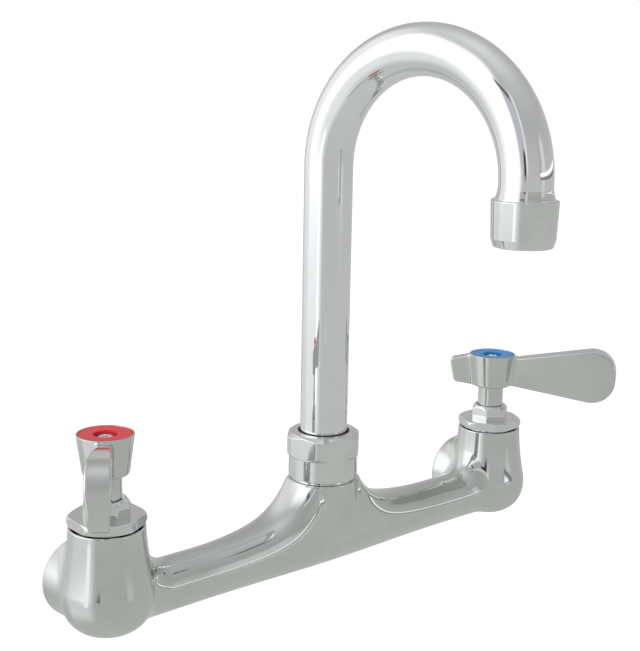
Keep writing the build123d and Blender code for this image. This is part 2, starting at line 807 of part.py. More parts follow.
def make_handle(name, x, heading):
    """The lever, its index ring and the screw that holds it to the stem."""
    with BuildPart() as lever:
        turn(
            [
                (0, skirt_foot),
                (skirt_radius, skirt_foot),
                (skirt_radius, hub_foot),
                (hub_foot_radius - hub_chamfer, hub_foot),
                (hub_foot_radius, hub_foot + hub_chamfer),
                (hub_rim_radius, hub_top),
                (0, hub_top),
            ],
            x,
        )
        add(blade(x, heading))
        add(tail(x, heading))
        ring(0, index_recess_radius, index_floor, hub_top + index_recess, x, mode=Mode.SUBTRACT)
        ring(0, screw_head_radius + thread_clearance, screw_seat, index_floor, x, mode=Mode.SUBTRACT)
        ring(0, screw_shank_radius + thread_clearance, stem_top, screw_seat, x, mode=Mode.SUBTRACT)
        socket_radius = stem_radius + film
        socket_width = broach_width + 2 * film
        socket_top = stem_top + film
        ring(0, socket_radius, skirt_foot, socket_top - broach_length, x, mode=Mode.SUBTRACT)
        flatted(socket_radius, socket_width, socket_width, skirt_foot, socket_top, x, heading, Mode.SUBTRACT)
    save(lever, f"{name}_lever")

    with BuildPart() as index_ring:
        index_outer = index_recess_radius - thread_clearance
        ring(index_hole_radius, index_outer, index_floor, index_floor + index_thickness, x)
    save(index_ring, f"{name}_index_ring")

    with BuildPart() as handle_screw:
        head_top = screw_seat + screw_head_height
        ring(0, screw_head_radius, screw_seat, head_top, x)
        ring(0, screw_shank_radius, screw_seat - screw_length, screw_seat, x)
        with BuildSketch(level_plane(x, valve_plane, head_top - screw_slot_depth, heading)) as cross:
            Rectangle(screw_slot_length, screw_slot_width)
            Rectangle(screw_slot_width, screw_slot_length)
        extrude(cross.sketch, amount=screw_slot_depth, mode=Mode.SUBTRACT)
    save(handle_screw, f"{name}_handle_screw")


for name, side in sides.items():
    make_cartridge(name, side * half_spacing)
    make_nuts(name, side * half_spacing)
    make_stem(name, side * half_spacing, side * handle_heading)
    make_handle(name, side * half_spacing, side * handle_heading)
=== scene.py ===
"""Finished surfaces, materials and stage of a wall faucet with two lever valves and a gooseneck spout.

Metres, in the frame's axes: +X from the hot valve to the cold valve, +Y into the wall and +Z up.
A heading is measured from straight out of the wall, positive towards the cold side.
"""

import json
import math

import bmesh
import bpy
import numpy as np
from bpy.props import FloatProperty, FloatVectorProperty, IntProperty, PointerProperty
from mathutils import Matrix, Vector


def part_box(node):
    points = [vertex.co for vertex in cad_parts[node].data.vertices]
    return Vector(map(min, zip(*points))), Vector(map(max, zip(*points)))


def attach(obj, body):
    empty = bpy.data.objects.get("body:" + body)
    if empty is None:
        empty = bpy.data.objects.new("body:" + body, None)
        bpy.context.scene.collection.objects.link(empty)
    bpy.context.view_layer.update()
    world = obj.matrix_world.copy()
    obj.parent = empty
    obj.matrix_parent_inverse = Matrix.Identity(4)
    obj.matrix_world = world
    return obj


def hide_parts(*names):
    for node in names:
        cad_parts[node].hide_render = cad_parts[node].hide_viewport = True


bl_info = {
    "name": "Wall faucet",
    "version": (1, 0, 0),
    "blender": (4, 5, 0),
    "location": "3D View > Sidebar > Faucet",
    "description": "Dresses the packed wall faucet in its finished surfaces and sets its stage",
    "category": "Object",
}

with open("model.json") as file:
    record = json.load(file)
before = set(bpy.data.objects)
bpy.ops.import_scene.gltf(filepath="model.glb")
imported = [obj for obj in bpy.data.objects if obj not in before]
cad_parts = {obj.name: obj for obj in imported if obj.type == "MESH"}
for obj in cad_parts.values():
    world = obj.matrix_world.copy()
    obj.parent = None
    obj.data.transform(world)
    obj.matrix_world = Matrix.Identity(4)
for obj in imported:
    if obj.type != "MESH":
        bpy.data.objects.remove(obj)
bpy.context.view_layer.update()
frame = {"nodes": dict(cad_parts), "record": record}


# ---- Places that the frame gives ----


def middle(node):
    """Centre of a node's box."""
    low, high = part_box(node)
    return (low + high) / 2


def foot_of(node):
    """Height of a node's lowest point."""
    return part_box(node)[0].z


def top_of(node):
    """Height of a node's highest point."""
    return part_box(node)[1].z


def radius_of(node):
    """Greatest radius of a node that is round about an upright axis."""
    low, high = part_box(node)
    return (high.x - low.x) / 2


sides = {"hot": -1, "cold": 1}
valve_x = middle("cold_packing").x
valve_y = middle("cold_packing").y
neck_axis = Vector((middle("thrust_washer").x, middle("thrust_washer").y, 0))
outlet_axis = Vector((middle("aerator_housing").x, middle("aerator_housing").y, 0))
nipple_top = foot_of("thrust_washer")
nut_foot = foot_of("swivel_nut")
nut_top = top_of("swivel_nut")
tube_radius = -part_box("spout_tube")[0].x
bend_span = (outlet_axis - neck_axis).length
spout_heading = math.atan2(outlet_axis.x - neck_axis.x, neck_axis.y - outlet_axis.y)
packing_nut_top = top_of("cold_packing_nut")
skirt_foot = foot_of("cold_lever")
index_floor = foot_of("cold_index_ring")


# ---- Fixed sizes of bores, threads and small parts, in metres ----

cartridge_play = 0.0002
cartridge_bore_radius = 0.0085
cartridge_shoulder = 0.012  # height of the step in a column's bore
boss_rim_inset = 5e-5
flare_start_share = 0.8  # where the flare stops rising towards the middle, as a share of the neck's radius
neck_rounding_share = 0.65  # rounding of the neck's foot, as a share of its belly
spigot_bore_radius = 0.00906
spigot_room = 0.001  # under the spigot's foot
nipple_play = 0.0003  # the nipple's thread outside the thrust washer
flange_room = 0.0026  # from the thrust washer up to the shelf inside the swivel nut

outline_step = 0.0003  # longest run between two rings of a turned nut
end_depth = 0.003  # how deep below a lever's end its cut reaches

lock_thread_play = 0.0001
lock_hole_radius = 0.0075
lock_belly_share = 0.4  # where a lock nut reaches its full radius, as a share of its height
lock_belly_round = 0.0015
lock_corner_headings = {"hot": 0.0, "cold": math.radians(-27.5)}
packing_corner_headings = {"hot": math.radians(-6), "cold": math.radians(3)}
packing_barrel_radius = 0.0074
packing_bore_radius = 0.0061
packing_eye_radius = 0.0044
packing_roof = 0.0009
packing_taper = 0.0002  # how much narrower the flats' corners are at the chamfer than at the foot

# Corners of the tail, each along from the valve axis and up from the hub's foot.
tail_shoulder_place = (-0.0085, 0.0146)
tail_tip_top = 0.0118
tail_tip_foot_place = (-0.0170, 0.0009)
tail_root_foot_place = (-0.0087, 0.0001)
tail_corner = 0.0015
tail_blend = 0.0018
blade_blend = 0.0022
thick_share = 0.3  # how far down from its upper edge the blade keeps its full thickness
thin_share = 0.35  # over how much of its height it then thins
skirt_blend = 0.0010
skirt_overlap = 0.002  # how far the skirt reaches into the hub
skirt_corner = 0.0005
stem_socket_radius = 0.0043

screw_pocket_play = 0.0001
screw_shank_radius = 0.0019
screw_pole = 2e-4  # radius of the small holes that are filled at both ends
screw_crown_height = 0.0006
screw_crown_share = 0.6  # radius where the crown turns flat, as a share of the head's
screw_crown_round = 0.0012
screw_top_depth = 0.0007  # what counts as the screw's top when the cross is pressed in
screw_slot_half_length = 0.0021
screw_slot_half_width = 0.00045
screw_slot_depth = 0.0011
screw_slot_edge = 0.0003

ferrule_radius = 0.0104
ferrule_play = 0.00005
housing_bore_radius = 0.0105
insert_bore_radius = 0.0096
insert_play = 0.00005
flare_power = 1.8  # how quickly the tube's flare at the outlet falls off
tube_end_lift = 0.0016  # the tube's end above the ferrule's foot
insert_hole_rings = ((6, 0.0032), (12, 0.0062))  # holes and radius of each ring

thread_pitch = 0.0254 / 14
thread_turns = 5
thread_play = 0.0002
thread_ridge = 0.0006
thread_start = 0.0005  # from the wall face


# ---- Sizes and colours ----


def size(name, default, description):
    """A length that the sidebar shows in metres."""
    return FloatProperty(name=name, description=description, default=default, unit="LENGTH", precision=5)


def turn_angle(name, degrees, description):
    """An angle that the sidebar shows in degrees."""
    return FloatProperty(name=name, description=description, default=math.radians(degrees), subtype="ANGLE")


def colour(name, default, description):
    """A colour swatch."""
    return FloatVectorProperty(
        name=name, description=description, default=default, subtype="COLOR", size=3, min=0.0, max=1.0
    )


class CastingSizes(bpy.types.PropertyGroup):
    """Shape of the body casting."""

    ball_radius: size("Ball radius", 0.0170, "Round bottom of each valve column")
    ball_depth: size("Ball depth", 0.0152, "How far below the inlets that bottom reaches")
    ball_power: FloatProperty(
        name="Ball fullness", description="How full the bottom's edge is; 2 is an ellipse", default=2.3
    )
    flank_start: size("Flank start", 0.0035, "Height where the column's flank leaves the ball")
    column_top: size("Column top", 0.0256, "Height of the column's rim")
    rim_radius: size("Rim radius", 0.01385, "Radius of the column's rim")
    arm_drop: size("Arm drop", 0.0035, "How far the arm's axis lies below the inlets")
    arm_radius: size("Arm radius", 0.0103, "Arm beside a column")
    arm_middle_radius: size("Arm middle radius", 0.0099, "Arm under the neck")
    arm_fillet: size("Arm fillet", 0.011, "Fillet between arm and column")
    boss_rim_radius: size("Boss rim radius", 0.0156, "Inlet boss at the wall")
    boss_root_radius: size("Boss root radius", 0.0146, "Inlet boss at the column")
    boss_fillet: size("Boss fillet", 0.008, "Fillet between boss and column")
    boss_edge: size("Boss edge", 0.0015, "Rounding of the boss's rim")
    neck_top: size("Neck top", 0.0225, "Height of the neck's rim")
    neck_radius: size("Neck radius", 0.0142, "Radius of the neck's rim")
    neck_belly: size("Neck belly", 0.0145, "Radius of the neck where it meets the arm")
    neck_foot: size("Neck foot", 0.007, "How far below the inlets the neck's round foot ends")
    neck_fillet: size("Neck fillet", 0.005, "Fillet between neck and arm")
    flare_decay: size("Flare decay", 0.0104, "Run in which the flare falls to a third of its height")
    flare_fade: size("Flare fade", 0.040, "Distance from the middle where the flare starts to fade")
    flare_reach: size("Flare reach", 0.066, "Distance from the middle where the flare has gone")
    flare_spread: size("Flare spread", 0.0032, "How much wider than the arm the flare is at the neck")
    flare_squareness: FloatProperty(
        name="Flare squareness", description="How full the flare's shoulders are at the neck", default=0.95
    )
    inlet_bore: size("Inlet bore", 0.00915, "Radius of the threaded inlet")
    inlet_depth: size("Inlet depth", 0.010, "Depth of the threaded inlet")
    rim_edge: size("Rim edge", 0.0005, "Rounding of the machined rims")
    cell: size("Cell", 0.0008, "Size of the cells that the skin is laid over")


class NutSizes(bpy.types.PropertyGroup):
    """Shape of the swivel nut, the lock nuts and the packing nuts."""

    skirt_radius: size("Skirt radius", 0.0140, "Round skirt of the swivel nut")
    skirt_height: size("Skirt height", 0.0089, "Height of that skirt")
    blank_radius: size("Blank radius", 0.0154, "Turned blank that the flats are cut into")
    half_flats: size("Half across flats", 0.01425, "Swivel nut's axis to a flat")
    chamfer: size("Chamfer", 0.0022, "Width of the swivel nut's top chamfer")
    chamfer_height: size("Chamfer height", 0.0016, "Height of that chamfer")
    foot_chamfer: size("Foot chamfer", 0.0012, "Width of the chamfer under the flats")
    foot_chamfer_height: size("Foot chamfer height", 0.0013, "Height of that chamfer")
    mouth_radius: size("Mouth radius", 0.00995, "Hole that the tube passes through")
    corner_heading: turn_angle("Corner heading", 15.0, "Heading of one corner of the swivel nut")
    lock_radius: size("Lock nut radius", 0.0143, "Widest place of a lock nut")
    lock_foot_radius: size("Lock nut foot radius", 0.0137, "Foot of a lock nut")
    lock_shoulder: size("Lock nut shoulder", 0.0015, "Rounding of a lock nut's top")
    lock_half_flats: size("Lock nut half across flats", 0.0128, "Lock nut's axis to a flat")
    lock_gap: size("Lock nut gap", 0.0006, "Dark gap under a lock nut")
    lock_height: size("Lock nut height", 0.0037, "Height of a lock nut")
    packing_radius: size("Packing nut radius", 0.0086, "Corners of a packing nut")
    packing_top_radius: size("Packing nut top radius", 0.0069, "Top of a packing nut")
    packing_chamfer: size("Packing nut chamfer", 0.0018, "Height of the chamfer at its top")
    packing_half_flats: size("Packing nut half across flats", 0.0075, "Packing nut's axis to a flat")
    packing_well: size("Packing nut well", 0.0013, "Depth of the well round the handle's skirt")
    packing_well_radius: size("Packing nut well radius", 0.0062, "Radius of that well")
    edge: size("Edge", 0.00035, "Softness of a nut's edges")


class SpoutSizes(bpy.types.PropertyGroup):
    """Shape of the gooseneck and its outlet."""

    collar_radius: size("Collar radius", 0.0106, "Flare of the tube above the outlet's ledge")
    collar_top_radius: size("Collar top radius", 0.00962, "Where that flare leaves the tube")
    collar_height: size("Collar height", 0.0035, "Height of that flare")
    ledge_radius: size("Ledge radius", 0.0118, "Housing at its top")
    foot_radius: size("Foot radius", 0.0113, "Housing above its chamfer")
    lip_radius: size("Lip radius", 0.01045, "Housing's lower rim")
    lip_height: size("Lip height", 0.0030, "Height of the chamfer")
    mouth_radius: size("Mouth radius", 0.0086, "Opening that the insert shows in")
    rings: IntProperty(name="Rings", description="Rings of faces along the tube", default=270)
    around: IntProperty(name="Around", description="Faces round the tube", default=72)
    hole_radius: size("Hole radius", 0.0007, "Perforations of the outlet's insert")


class HandleSizes(bpy.types.PropertyGroup):
    """Shape of the two lever handles."""

    heading: turn_angle("Heading", 34.0, "Swing of each blade towards its own side")
    skirt_radius: size("Skirt radius", 0.0056, "Skirt that covers the stem")
    skirt_length: size("Skirt length", 0.0095, "Skirt's foot to the hub's foot")
    hub_foot_radius: size("Hub foot radius", 0.0083, "Hub at its foot")
    hub_rim_radius: size("Hub rim radius", 0.01034, "Hub at its top")
    hub_height: size("Hub height", 0.01487, "Height of the hub")
    hub_edge: size("Hub edge", 0.0010, "Rounding of the hub's foot")
    rim_width: size("Rim width", 0.0007, "Rim of metal round the index ring")
    rim_edge: size("Rim edge", 0.00022, "Rounding of that rim")
    blade_reach: size("Blade reach", 0.0552, "Valve axis to the blade's tip")
    blade_root_top: size("Blade root top", 0.0120, "Blade's upper edge at the axis, above the hub's foot")
    blade_tip_top: size("Blade tip top", 0.0221, "Blade's upper edge at the tip")
    blade_root_foot: size("Blade root foot", 0.0022, "Blade's lower edge at the valve axis")
    blade_tip_foot: size("Blade tip foot", -0.0055, "Blade's lower edge at the tip")
    blade_corner: size("Blade corner", 0.0124, "Rounding of the blade's tip")
    blade_root_half: size("Blade root half thickness", 0.0027, "Half the blade's thickness at the axis")
    blade_tip_half: size("Blade tip half thickness", 0.0045, "Half the thickness at the tip's upper edge")
    blade_thinning: size("Blade thinning", 0.0009, "How much less that is at the tip's lower edge")
    blade_edge: size("Blade edge", 0.0011, "Rounding of the blade's edges")
    tail_reach: size("Tail reach", 0.0192, "Valve axis to the tail's tip")
    cell: size("Cell", 0.0005, "Size of the cells that the skin is laid over")
    screw_head: size("Screw head", 0.0021, "Height of the screw's head")
    screw_raise: size("Screw raise", 0.0013, "How far the screw stands above its place in the frame")
    ring_hole: size("Ring hole", 0.0042, "Hole of the index ring")


class FinishColours(bpy.types.PropertyGroup):
    """Colours of the finishes."""

    # Cast, turned and drawn chrome are one plating. The base brightness is chrome's own; the spread from the
    # darker, greener cast plate to the lighter drawn plate is painted shade and painted light for the room
    # that each part mirrors.
    cast_chrome: colour("Cast chrome", (0.68, 0.695, 0.68), "Plate on the casting and the levers")
    cast_haze: colour("Cast chrome haze", (0.61, 0.63, 0.60), "The same plate under a light film")
    turned_chrome: colour("Turned chrome", (0.76, 0.77, 0.76), "Plate on the nuts and the outlet")
    turned_haze: colour("Turned chrome haze", (0.70, 0.715, 0.70), "The same plate under a light film")
    drawn_chrome: colour("Drawn chrome", (0.85, 0.86, 0.865), "Plate on the spout tube")
    drawn_haze: colour("Drawn chrome haze", (0.80, 0.81, 0.815), "The same plate under a light film")
    red: colour("Red", (0.60, 0.022, 0.036), "Hot index ring")
    blue: colour("Blue", (0.015, 0.19, 0.50), "Cold index ring")
    steel: colour("Steel", (0.80, 0.79, 0.76), "Screws")
    brass: colour("Brass", (0.72, 0.53, 0.24), "Stems and cartridges")
    rubber: colour("Rubber", (0.02, 0.02, 0.022), "Sealing rings")
    ceramic: colour("Ceramic", (0.86, 0.85, 0.80), "Valve discs")
    packing: colour("Packing", (0.88, 0.88, 0.86), "Packing and washers")
    plastic: colour("Plastic", (0.50, 0.51, 0.52), "Outlet's insert")


class StageSettings(bpy.types.PropertyGroup):
    """Camera, lamps and floor."""

    lens: FloatProperty(name="Lens", description="Focal length in millimetres", default=68.31)
    heading: turn_angle("Camera heading", 41.18, "Which way the camera looks, from into the wall towards +X")
    pitch: turn_angle("Camera pitch", 11.98, "How far the camera looks down")
    roll: turn_angle("Camera roll", 1.083, "Turn of the camera about its line of sight")
    floor_drop: size("Floor drop", 0.30, "Height of the inlets above the floor")
    floor_shade: colour("Floor shade", (0.52, 0.535, 0.51), "Floor, and the room below the horizon")


# ---- Distances to shapes, negative inside ----


def soft_union(a, b, blend):
    """Lesser of two distances, with a fillet of about 0.6 of the blend in the corner between them."""
    near = np.maximum(blend - np.abs(a - b), 0) / blend
    return np.minimum(a, b) - near**3 * blend / 6


def rolled_union(first, second, radius):
    """Union of two shapes, each a distance and its direction, with a fillet rolled along their corner."""
    (a, a_way), (b, b_way) = first, second
    lean = (a_way * b_way).sum(axis=-1)
    spread = np.maximum(1 - lean**2, 1e-4)
    p, q = radius - a, radius - b
    a_share, b_share = (p - lean * q) / spread, (q - lean * p) / spread
    corner = (np.minimum(p, q) > 0) & (np.minimum(a_share, b_share) > 0)
    centre = a_share[..., None] * a_way + b_share[..., None] * b_way
    reach = np.maximum(np.linalg.norm(centre, axis=-1), 1e-9)
    distance = np.where(corner, radius - reach, np.minimum(a, b))
    plain_way = np.where((a < b)[..., None], a_way, b_way)
    return distance, np.where(corner[..., None], centre / reach[..., None], plain_way)


def round_corner(a, b, radius):
    """Greater of two distances, with the outer edge between them rounded."""
    beyond = np.hypot(np.maximum(a + radius, 0), np.maximum(b + radius, 0))
    return beyond + np.minimum(np.maximum(a, b) + radius, 0) - radius


def ease(t):
    """Smooth step from 0 to 1."""
    t = np.clip(t, 0, 1)
    return t * t * (3 - 2 * t)


def line_side(across, height, start, end):
    """Distance from a line through two points, positive to the left of the way from start to end."""
    run = end[0] - start[0], end[1] - start[1]
    reach = math.hypot(*run)
    return ((height - start[1]) * run[0] - (across - start[0]) * run[1]) / reach


# ---- Skins over distances ----


def skin_over(distance, low, high, cell):
    """Quads over the surface where distance(points) is zero, one corner in each cell that it crosses."""
    counts = [math.ceil((h - l) / cell) + 1 for l, h in zip(low, high)]
    axes = [l + cell * np.arange(n) for l, n in zip(low, counts)]
    field = distance(np.stack(np.meshgrid(*axes, indexing="ij"), axis=-1))
    inside = field < 0
    corners = [(i, j, k) for i in (0, 1) for j in (0, 1) for k in (0, 1)]
    held = np.zeros([n - 1 for n in counts], int)
    for corner in corners:
        held += inside[tuple(slice(o, n - 1 + o) for o, n in zip(corner, counts))]
    crossed_cells = (held > 0) & (held < len(corners))
    cells = np.argwhere(crossed_cells)
    number = np.full(crossed_cells.shape, -1)
    number[crossed_cells] = np.arange(len(cells))

    total = np.zeros((len(cells), 3))
    hits = np.zeros((len(cells), 1))
    for corner in corners:
        for axis in range(3):
            if corner[axis]:
                continue
            step = np.eye(3, dtype=int)[axis]
            a = field[tuple((cells + corner).T)]
            b = field[tuple((cells + corner + step).T)]
            crossed = (a < 0) != (b < 0)
            share = a / np.where(crossed, a - b, 1)
            total += np.where(crossed[:, None], corner + share[:, None] * step, 0)
            hits += crossed[:, None]
    points = np.array(low) + cell * (cells + total / hits)

    faces = []
    for axis in range(3):
        step_u, step_v = np.roll(np.eye(3, dtype=int), -axis - 1, axis=0)[:2]
        here = [slice(1, n - 1) for n in counts]
        here[axis] = slice(0, counts[axis] - 1)
        there = list(here)
        there[axis] = slice(1, counts[axis])
        first = inside[tuple(here)]
        edges = np.argwhere(first != inside[tuple(there)])
        leaving = first[tuple(edges.T)]
        edges = edges + step_u + step_v
        around = (0 * step_u, step_u, step_u + step_v, step_v)
        quads = np.stack([number[tuple((edges - o).T)] for o in around], axis=1)
        faces.append(np.where(leaving[:, None], quads, quads[:, ::-1]))
    return points, np.concatenate(faces)


def steepest(distance, points):
    """Gradient of a distance at points."""
    reach = 2e-5
    steps = np.eye(3) * reach
    change = [distance(points + step) - distance(points - step) for step in steps]
    return np.stack(change, axis=-1) / (2 * reach)


def settle(distance, points, faces, rounds=5):
    """Spread the corners evenly and bring each onto the surface."""
    ends = np.concatenate([faces[:, [i, (i + 1) % 4]] for i in range(4)])
    shared = np.bincount(ends[:, 0], minlength=len(points)) + np.bincount(ends[:, 1], minlength=len(points))
    for _ in range(rounds):
        mean = np.zeros_like(points)
        for axis in range(3):
            for one, other in ((0, 1), (1, 0)):
                weights = points[ends[:, other], axis]
                mean[:, axis] += np.bincount(ends[:, one], weights, minlength=len(points))
        points = (points + mean / shared[:, None]) / 2
        for _ in range(2):
            slope = steepest(distance, points)
            points = points - distance(points)[:, None] * slope / (slope**2).sum(axis=1, keepdims=True)
    return points


class Skin:
    """A skin that is cut flat in places and carried on as turned rings, with its exact surface directions."""

    def __init__(self, distance, low, high, cell):
        points, faces = skin_over(distance, low, high, cell)
        points = settle(distance, points, faces)
        mesh = bpy.data.meshes.new("skin")
        mesh.from_pydata(points.tolist(), [], faces.tolist())
        self.distance = distance
        self.bm = bmesh.new()
        self.bm.from_mesh(mesh)
        bpy.data.meshes.remove(mesh)
        self.facing = self.bm.verts.layers.float_vector.new("facing")
        self.turned = self.bm.verts.layers.int.new("turned")

    def cut(self, place, outwards, chosen):
        """Cut off what lies beyond a plane among the chosen faces and return the open rim in order."""
        faces = [f for f in self.bm.faces if chosen(f.calc_center_median())]
        # Kept in the mesh's own order, so that each run gives the same mesh.
        corners = [v for f in faces for v in f.verts]
        sides_of_faces = [e for f in faces for e in f.edges]
        geom = dict.fromkeys(corners + sides_of_faces + faces)
        done = bmesh.ops.bisect_plane(
            self.bm, geom=list(geom), plane_co=place, plane_no=outwards, clear_outer=True, dist=1e-8
        )
        edges = [e for e in done["geom_cut"] if isinstance(e, bmesh.types.BMEdge)]
        loop = [edges[0].verts[0], edges[0].verts[1]]
        left = set(edges[1:])
        while left:
            following = next(e for e in loop[-1].link_edges if e in left)
            left.remove(following)
            loop.append(following.other_vert(loop[-1]))
        if loop[-1] != loop[0]:
            raise RuntimeError("the cut leaves an open rim that does not close")
        return loop[:-1]

    def carry_on(self, rim, centre, axis, outline):
        """Close an open rim with rings that follow an outline of (radius, height) about an axis."""
        heights = np.array([h for _, h in outline])
        radii = np.array([r for r, _ in outline])
        run_r, run_h = np.gradient(radii), np.gradient(heights)
        spokes = []
        for v in rim:
            spoke = v.co - centre
            spokes.append((spoke - spoke.dot(axis) * axis).normalized())
        sweep = spokes[0].cross(spokes[1]).dot(axis)
        previous = rim
        for i, (radius, height) in enumerate(outline):
            if radius == 0:
                pole = self.bm.verts.new(centre + axis * height)
                pole[self.facing] = axis
                pole[self.turned] = 1
                for a, b in zip(previous, previous[1:] + previous[:1]):
                    self.bm.faces.new((a, b, pole) if sweep > 0 else (b, a, pole))
                return
            ring = []
            for spoke in spokes:
                v = self.bm.verts.new(centre + spoke * radius + axis * height)
                v[self.facing] = (spoke * run_h[i] - axis * run_r[i]).normalized()
                v[self.turned] = 1
                ring.append(v)
            for k in range(len(ring)):
                quad = previous[k - 1], previous[k], ring[k], ring[k - 1]
                self.bm.faces.new(quad if sweep > 0 else quad[::-1])
            previous = ring

    def finished(self):
        """The mesh, with its surface directions set."""
        self.bm.verts.index_update()
        skin_verts = [v for v in self.bm.verts if not v[self.turned]]
        slopes = steepest(self.distance, np.array([v.co for v in skin_verts]))
        for v, slope in zip(skin_verts, slopes):
            v[self.facing] = Vector(slope).normalized()
        facing = [v[self.facing].copy() for v in self.bm.verts]
        self.bm.verts.layers.float_vector.remove(self.bm.verts.layers.float_vector["facing"])
        self.bm.verts.layers.int.remove(self.bm.verts.layers.int["turned"])
        mesh = bpy.data.meshes.new("skin")
        self.bm.to_mesh(mesh)
        self.bm.free()
        return mesh, facing


# ---- Turned shapes ----


def rounded(corners, steps=5):
    """Closed outline through corners of (radius, height, rounding), with an arc at each corner."""
    outline = []
    for i, (r, z, rounding) in enumerate(corners):
        here = complex(r, z)
        if not rounding:
            outline.append(here)
            continue
        before = complex(*corners[i - 1][:2]) - here
        after = complex(*corners[(i + 1) % len(corners)][:2]) - here
        before, after = before / abs(before), after / abs(after)
        half = abs(math.atan2((after / before).imag, (after / before).real)) / 2
        centre = here + (before + after) / abs(before + after) * rounding / math.sin(half)
        start = here + before * rounding / math.tan(half) - centre
        end = here + after * rounding / math.tan(half) - centre
        sweep = math.atan2((end / start).imag, (end / start).real)
        turns = np.linspace(0, sweep, steps + 1)
        outline += [centre + start * complex(math.cos(a), math.sin(a)) for a in turns]
    return [(p.real, p.imag) for p in outline]


def dense(outline, spacing):
    """The same closed outline with its long runs divided."""
    points = []
    for i, start in enumerate(outline):
        end = outline[(i + 1) % len(outline)]
        count = max(1, math.ceil(math.dist(start, end) / spacing))
        points += [tuple(np.array(start) + (np.array(end) - start) * k / count) for k in range(count)]
    return points


def turned(outline, centre, around=96, trim=None):
    """Points, faces and directions of an outline turned about an upright axis; trim changes its radii."""
    angles = np.linspace(0, 2 * math.pi, around, endpoint=False)
    radii, heights = (np.array(c)[:, None] * np.ones(around) for c in zip(*outline))
    if trim is not None:
        radii = trim(radii, heights, angles[None, :])
    points = np.stack([radii * np.cos(angles), radii * np.sin(angles), heights], axis=-1)
    along = np.roll(points, -1, axis=0) - np.roll(points, 1, axis=0)
    across = np.roll(points, -1, axis=1) - np.roll(points, 1, axis=1)
    facing = np.cross(across, along)
    facing /= np.linalg.norm(facing, axis=-1, keepdims=True)
    index = np.arange(points.shape[0] * around).reshape(-1, around)
    after, beside = np.roll(index, -1, axis=0), np.roll(index, -1, axis=1)
    faces = np.stack([index, beside, np.roll(beside, -1, axis=0), after], axis=-1).reshape(-1, 4)
    points = points.reshape(-1, 3) + np.array(centre)
    return points, faces, facing.reshape(-1, 3)


def hexagon_limit(angles, half_flats, corner_heading):
    """Radius of a hexagon at each angle."""
    corner = corner_heading - math.pi / 2
    off = (angles - corner) % (math.pi / 3) - math.pi / 6
    return half_flats / np.cos(off)


# ---- Pieces ----


def add_piece(name, mesh, finish, body, stands_for, facing=None):
    """Put a finished mesh into the scene as a piece that rides on a body and stands for CAD nodes."""
    mesh.name = name
    for polygon in mesh.polygons:
        polygon.use_smooth = True
    mesh.materials.clear()
    mesh.materials.append(bpy.data.materials[finish])
    if facing is not None:
        mesh.normals_split_custom_set_from_vertices(facing)
    piece = bpy.data.objects.new(name, mesh)
    bpy.context.scene.collection.objects.link(piece)
    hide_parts(*stands_for)
    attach(piece, body)
    return piece


def mesh_of(shapes):
    """One mesh of several turned shapes, with their directions."""
    points, faces, facing = [], [], []
    for some_points, some_faces, some_facing in shapes:
        faces += (some_faces + len(points)).tolist()
        points += some_points.tolist()
        facing += some_facing.tolist()
    mesh = bpy.data.meshes.new("turned")
    mesh.from_pydata(points, [], faces)
    return mesh, facing


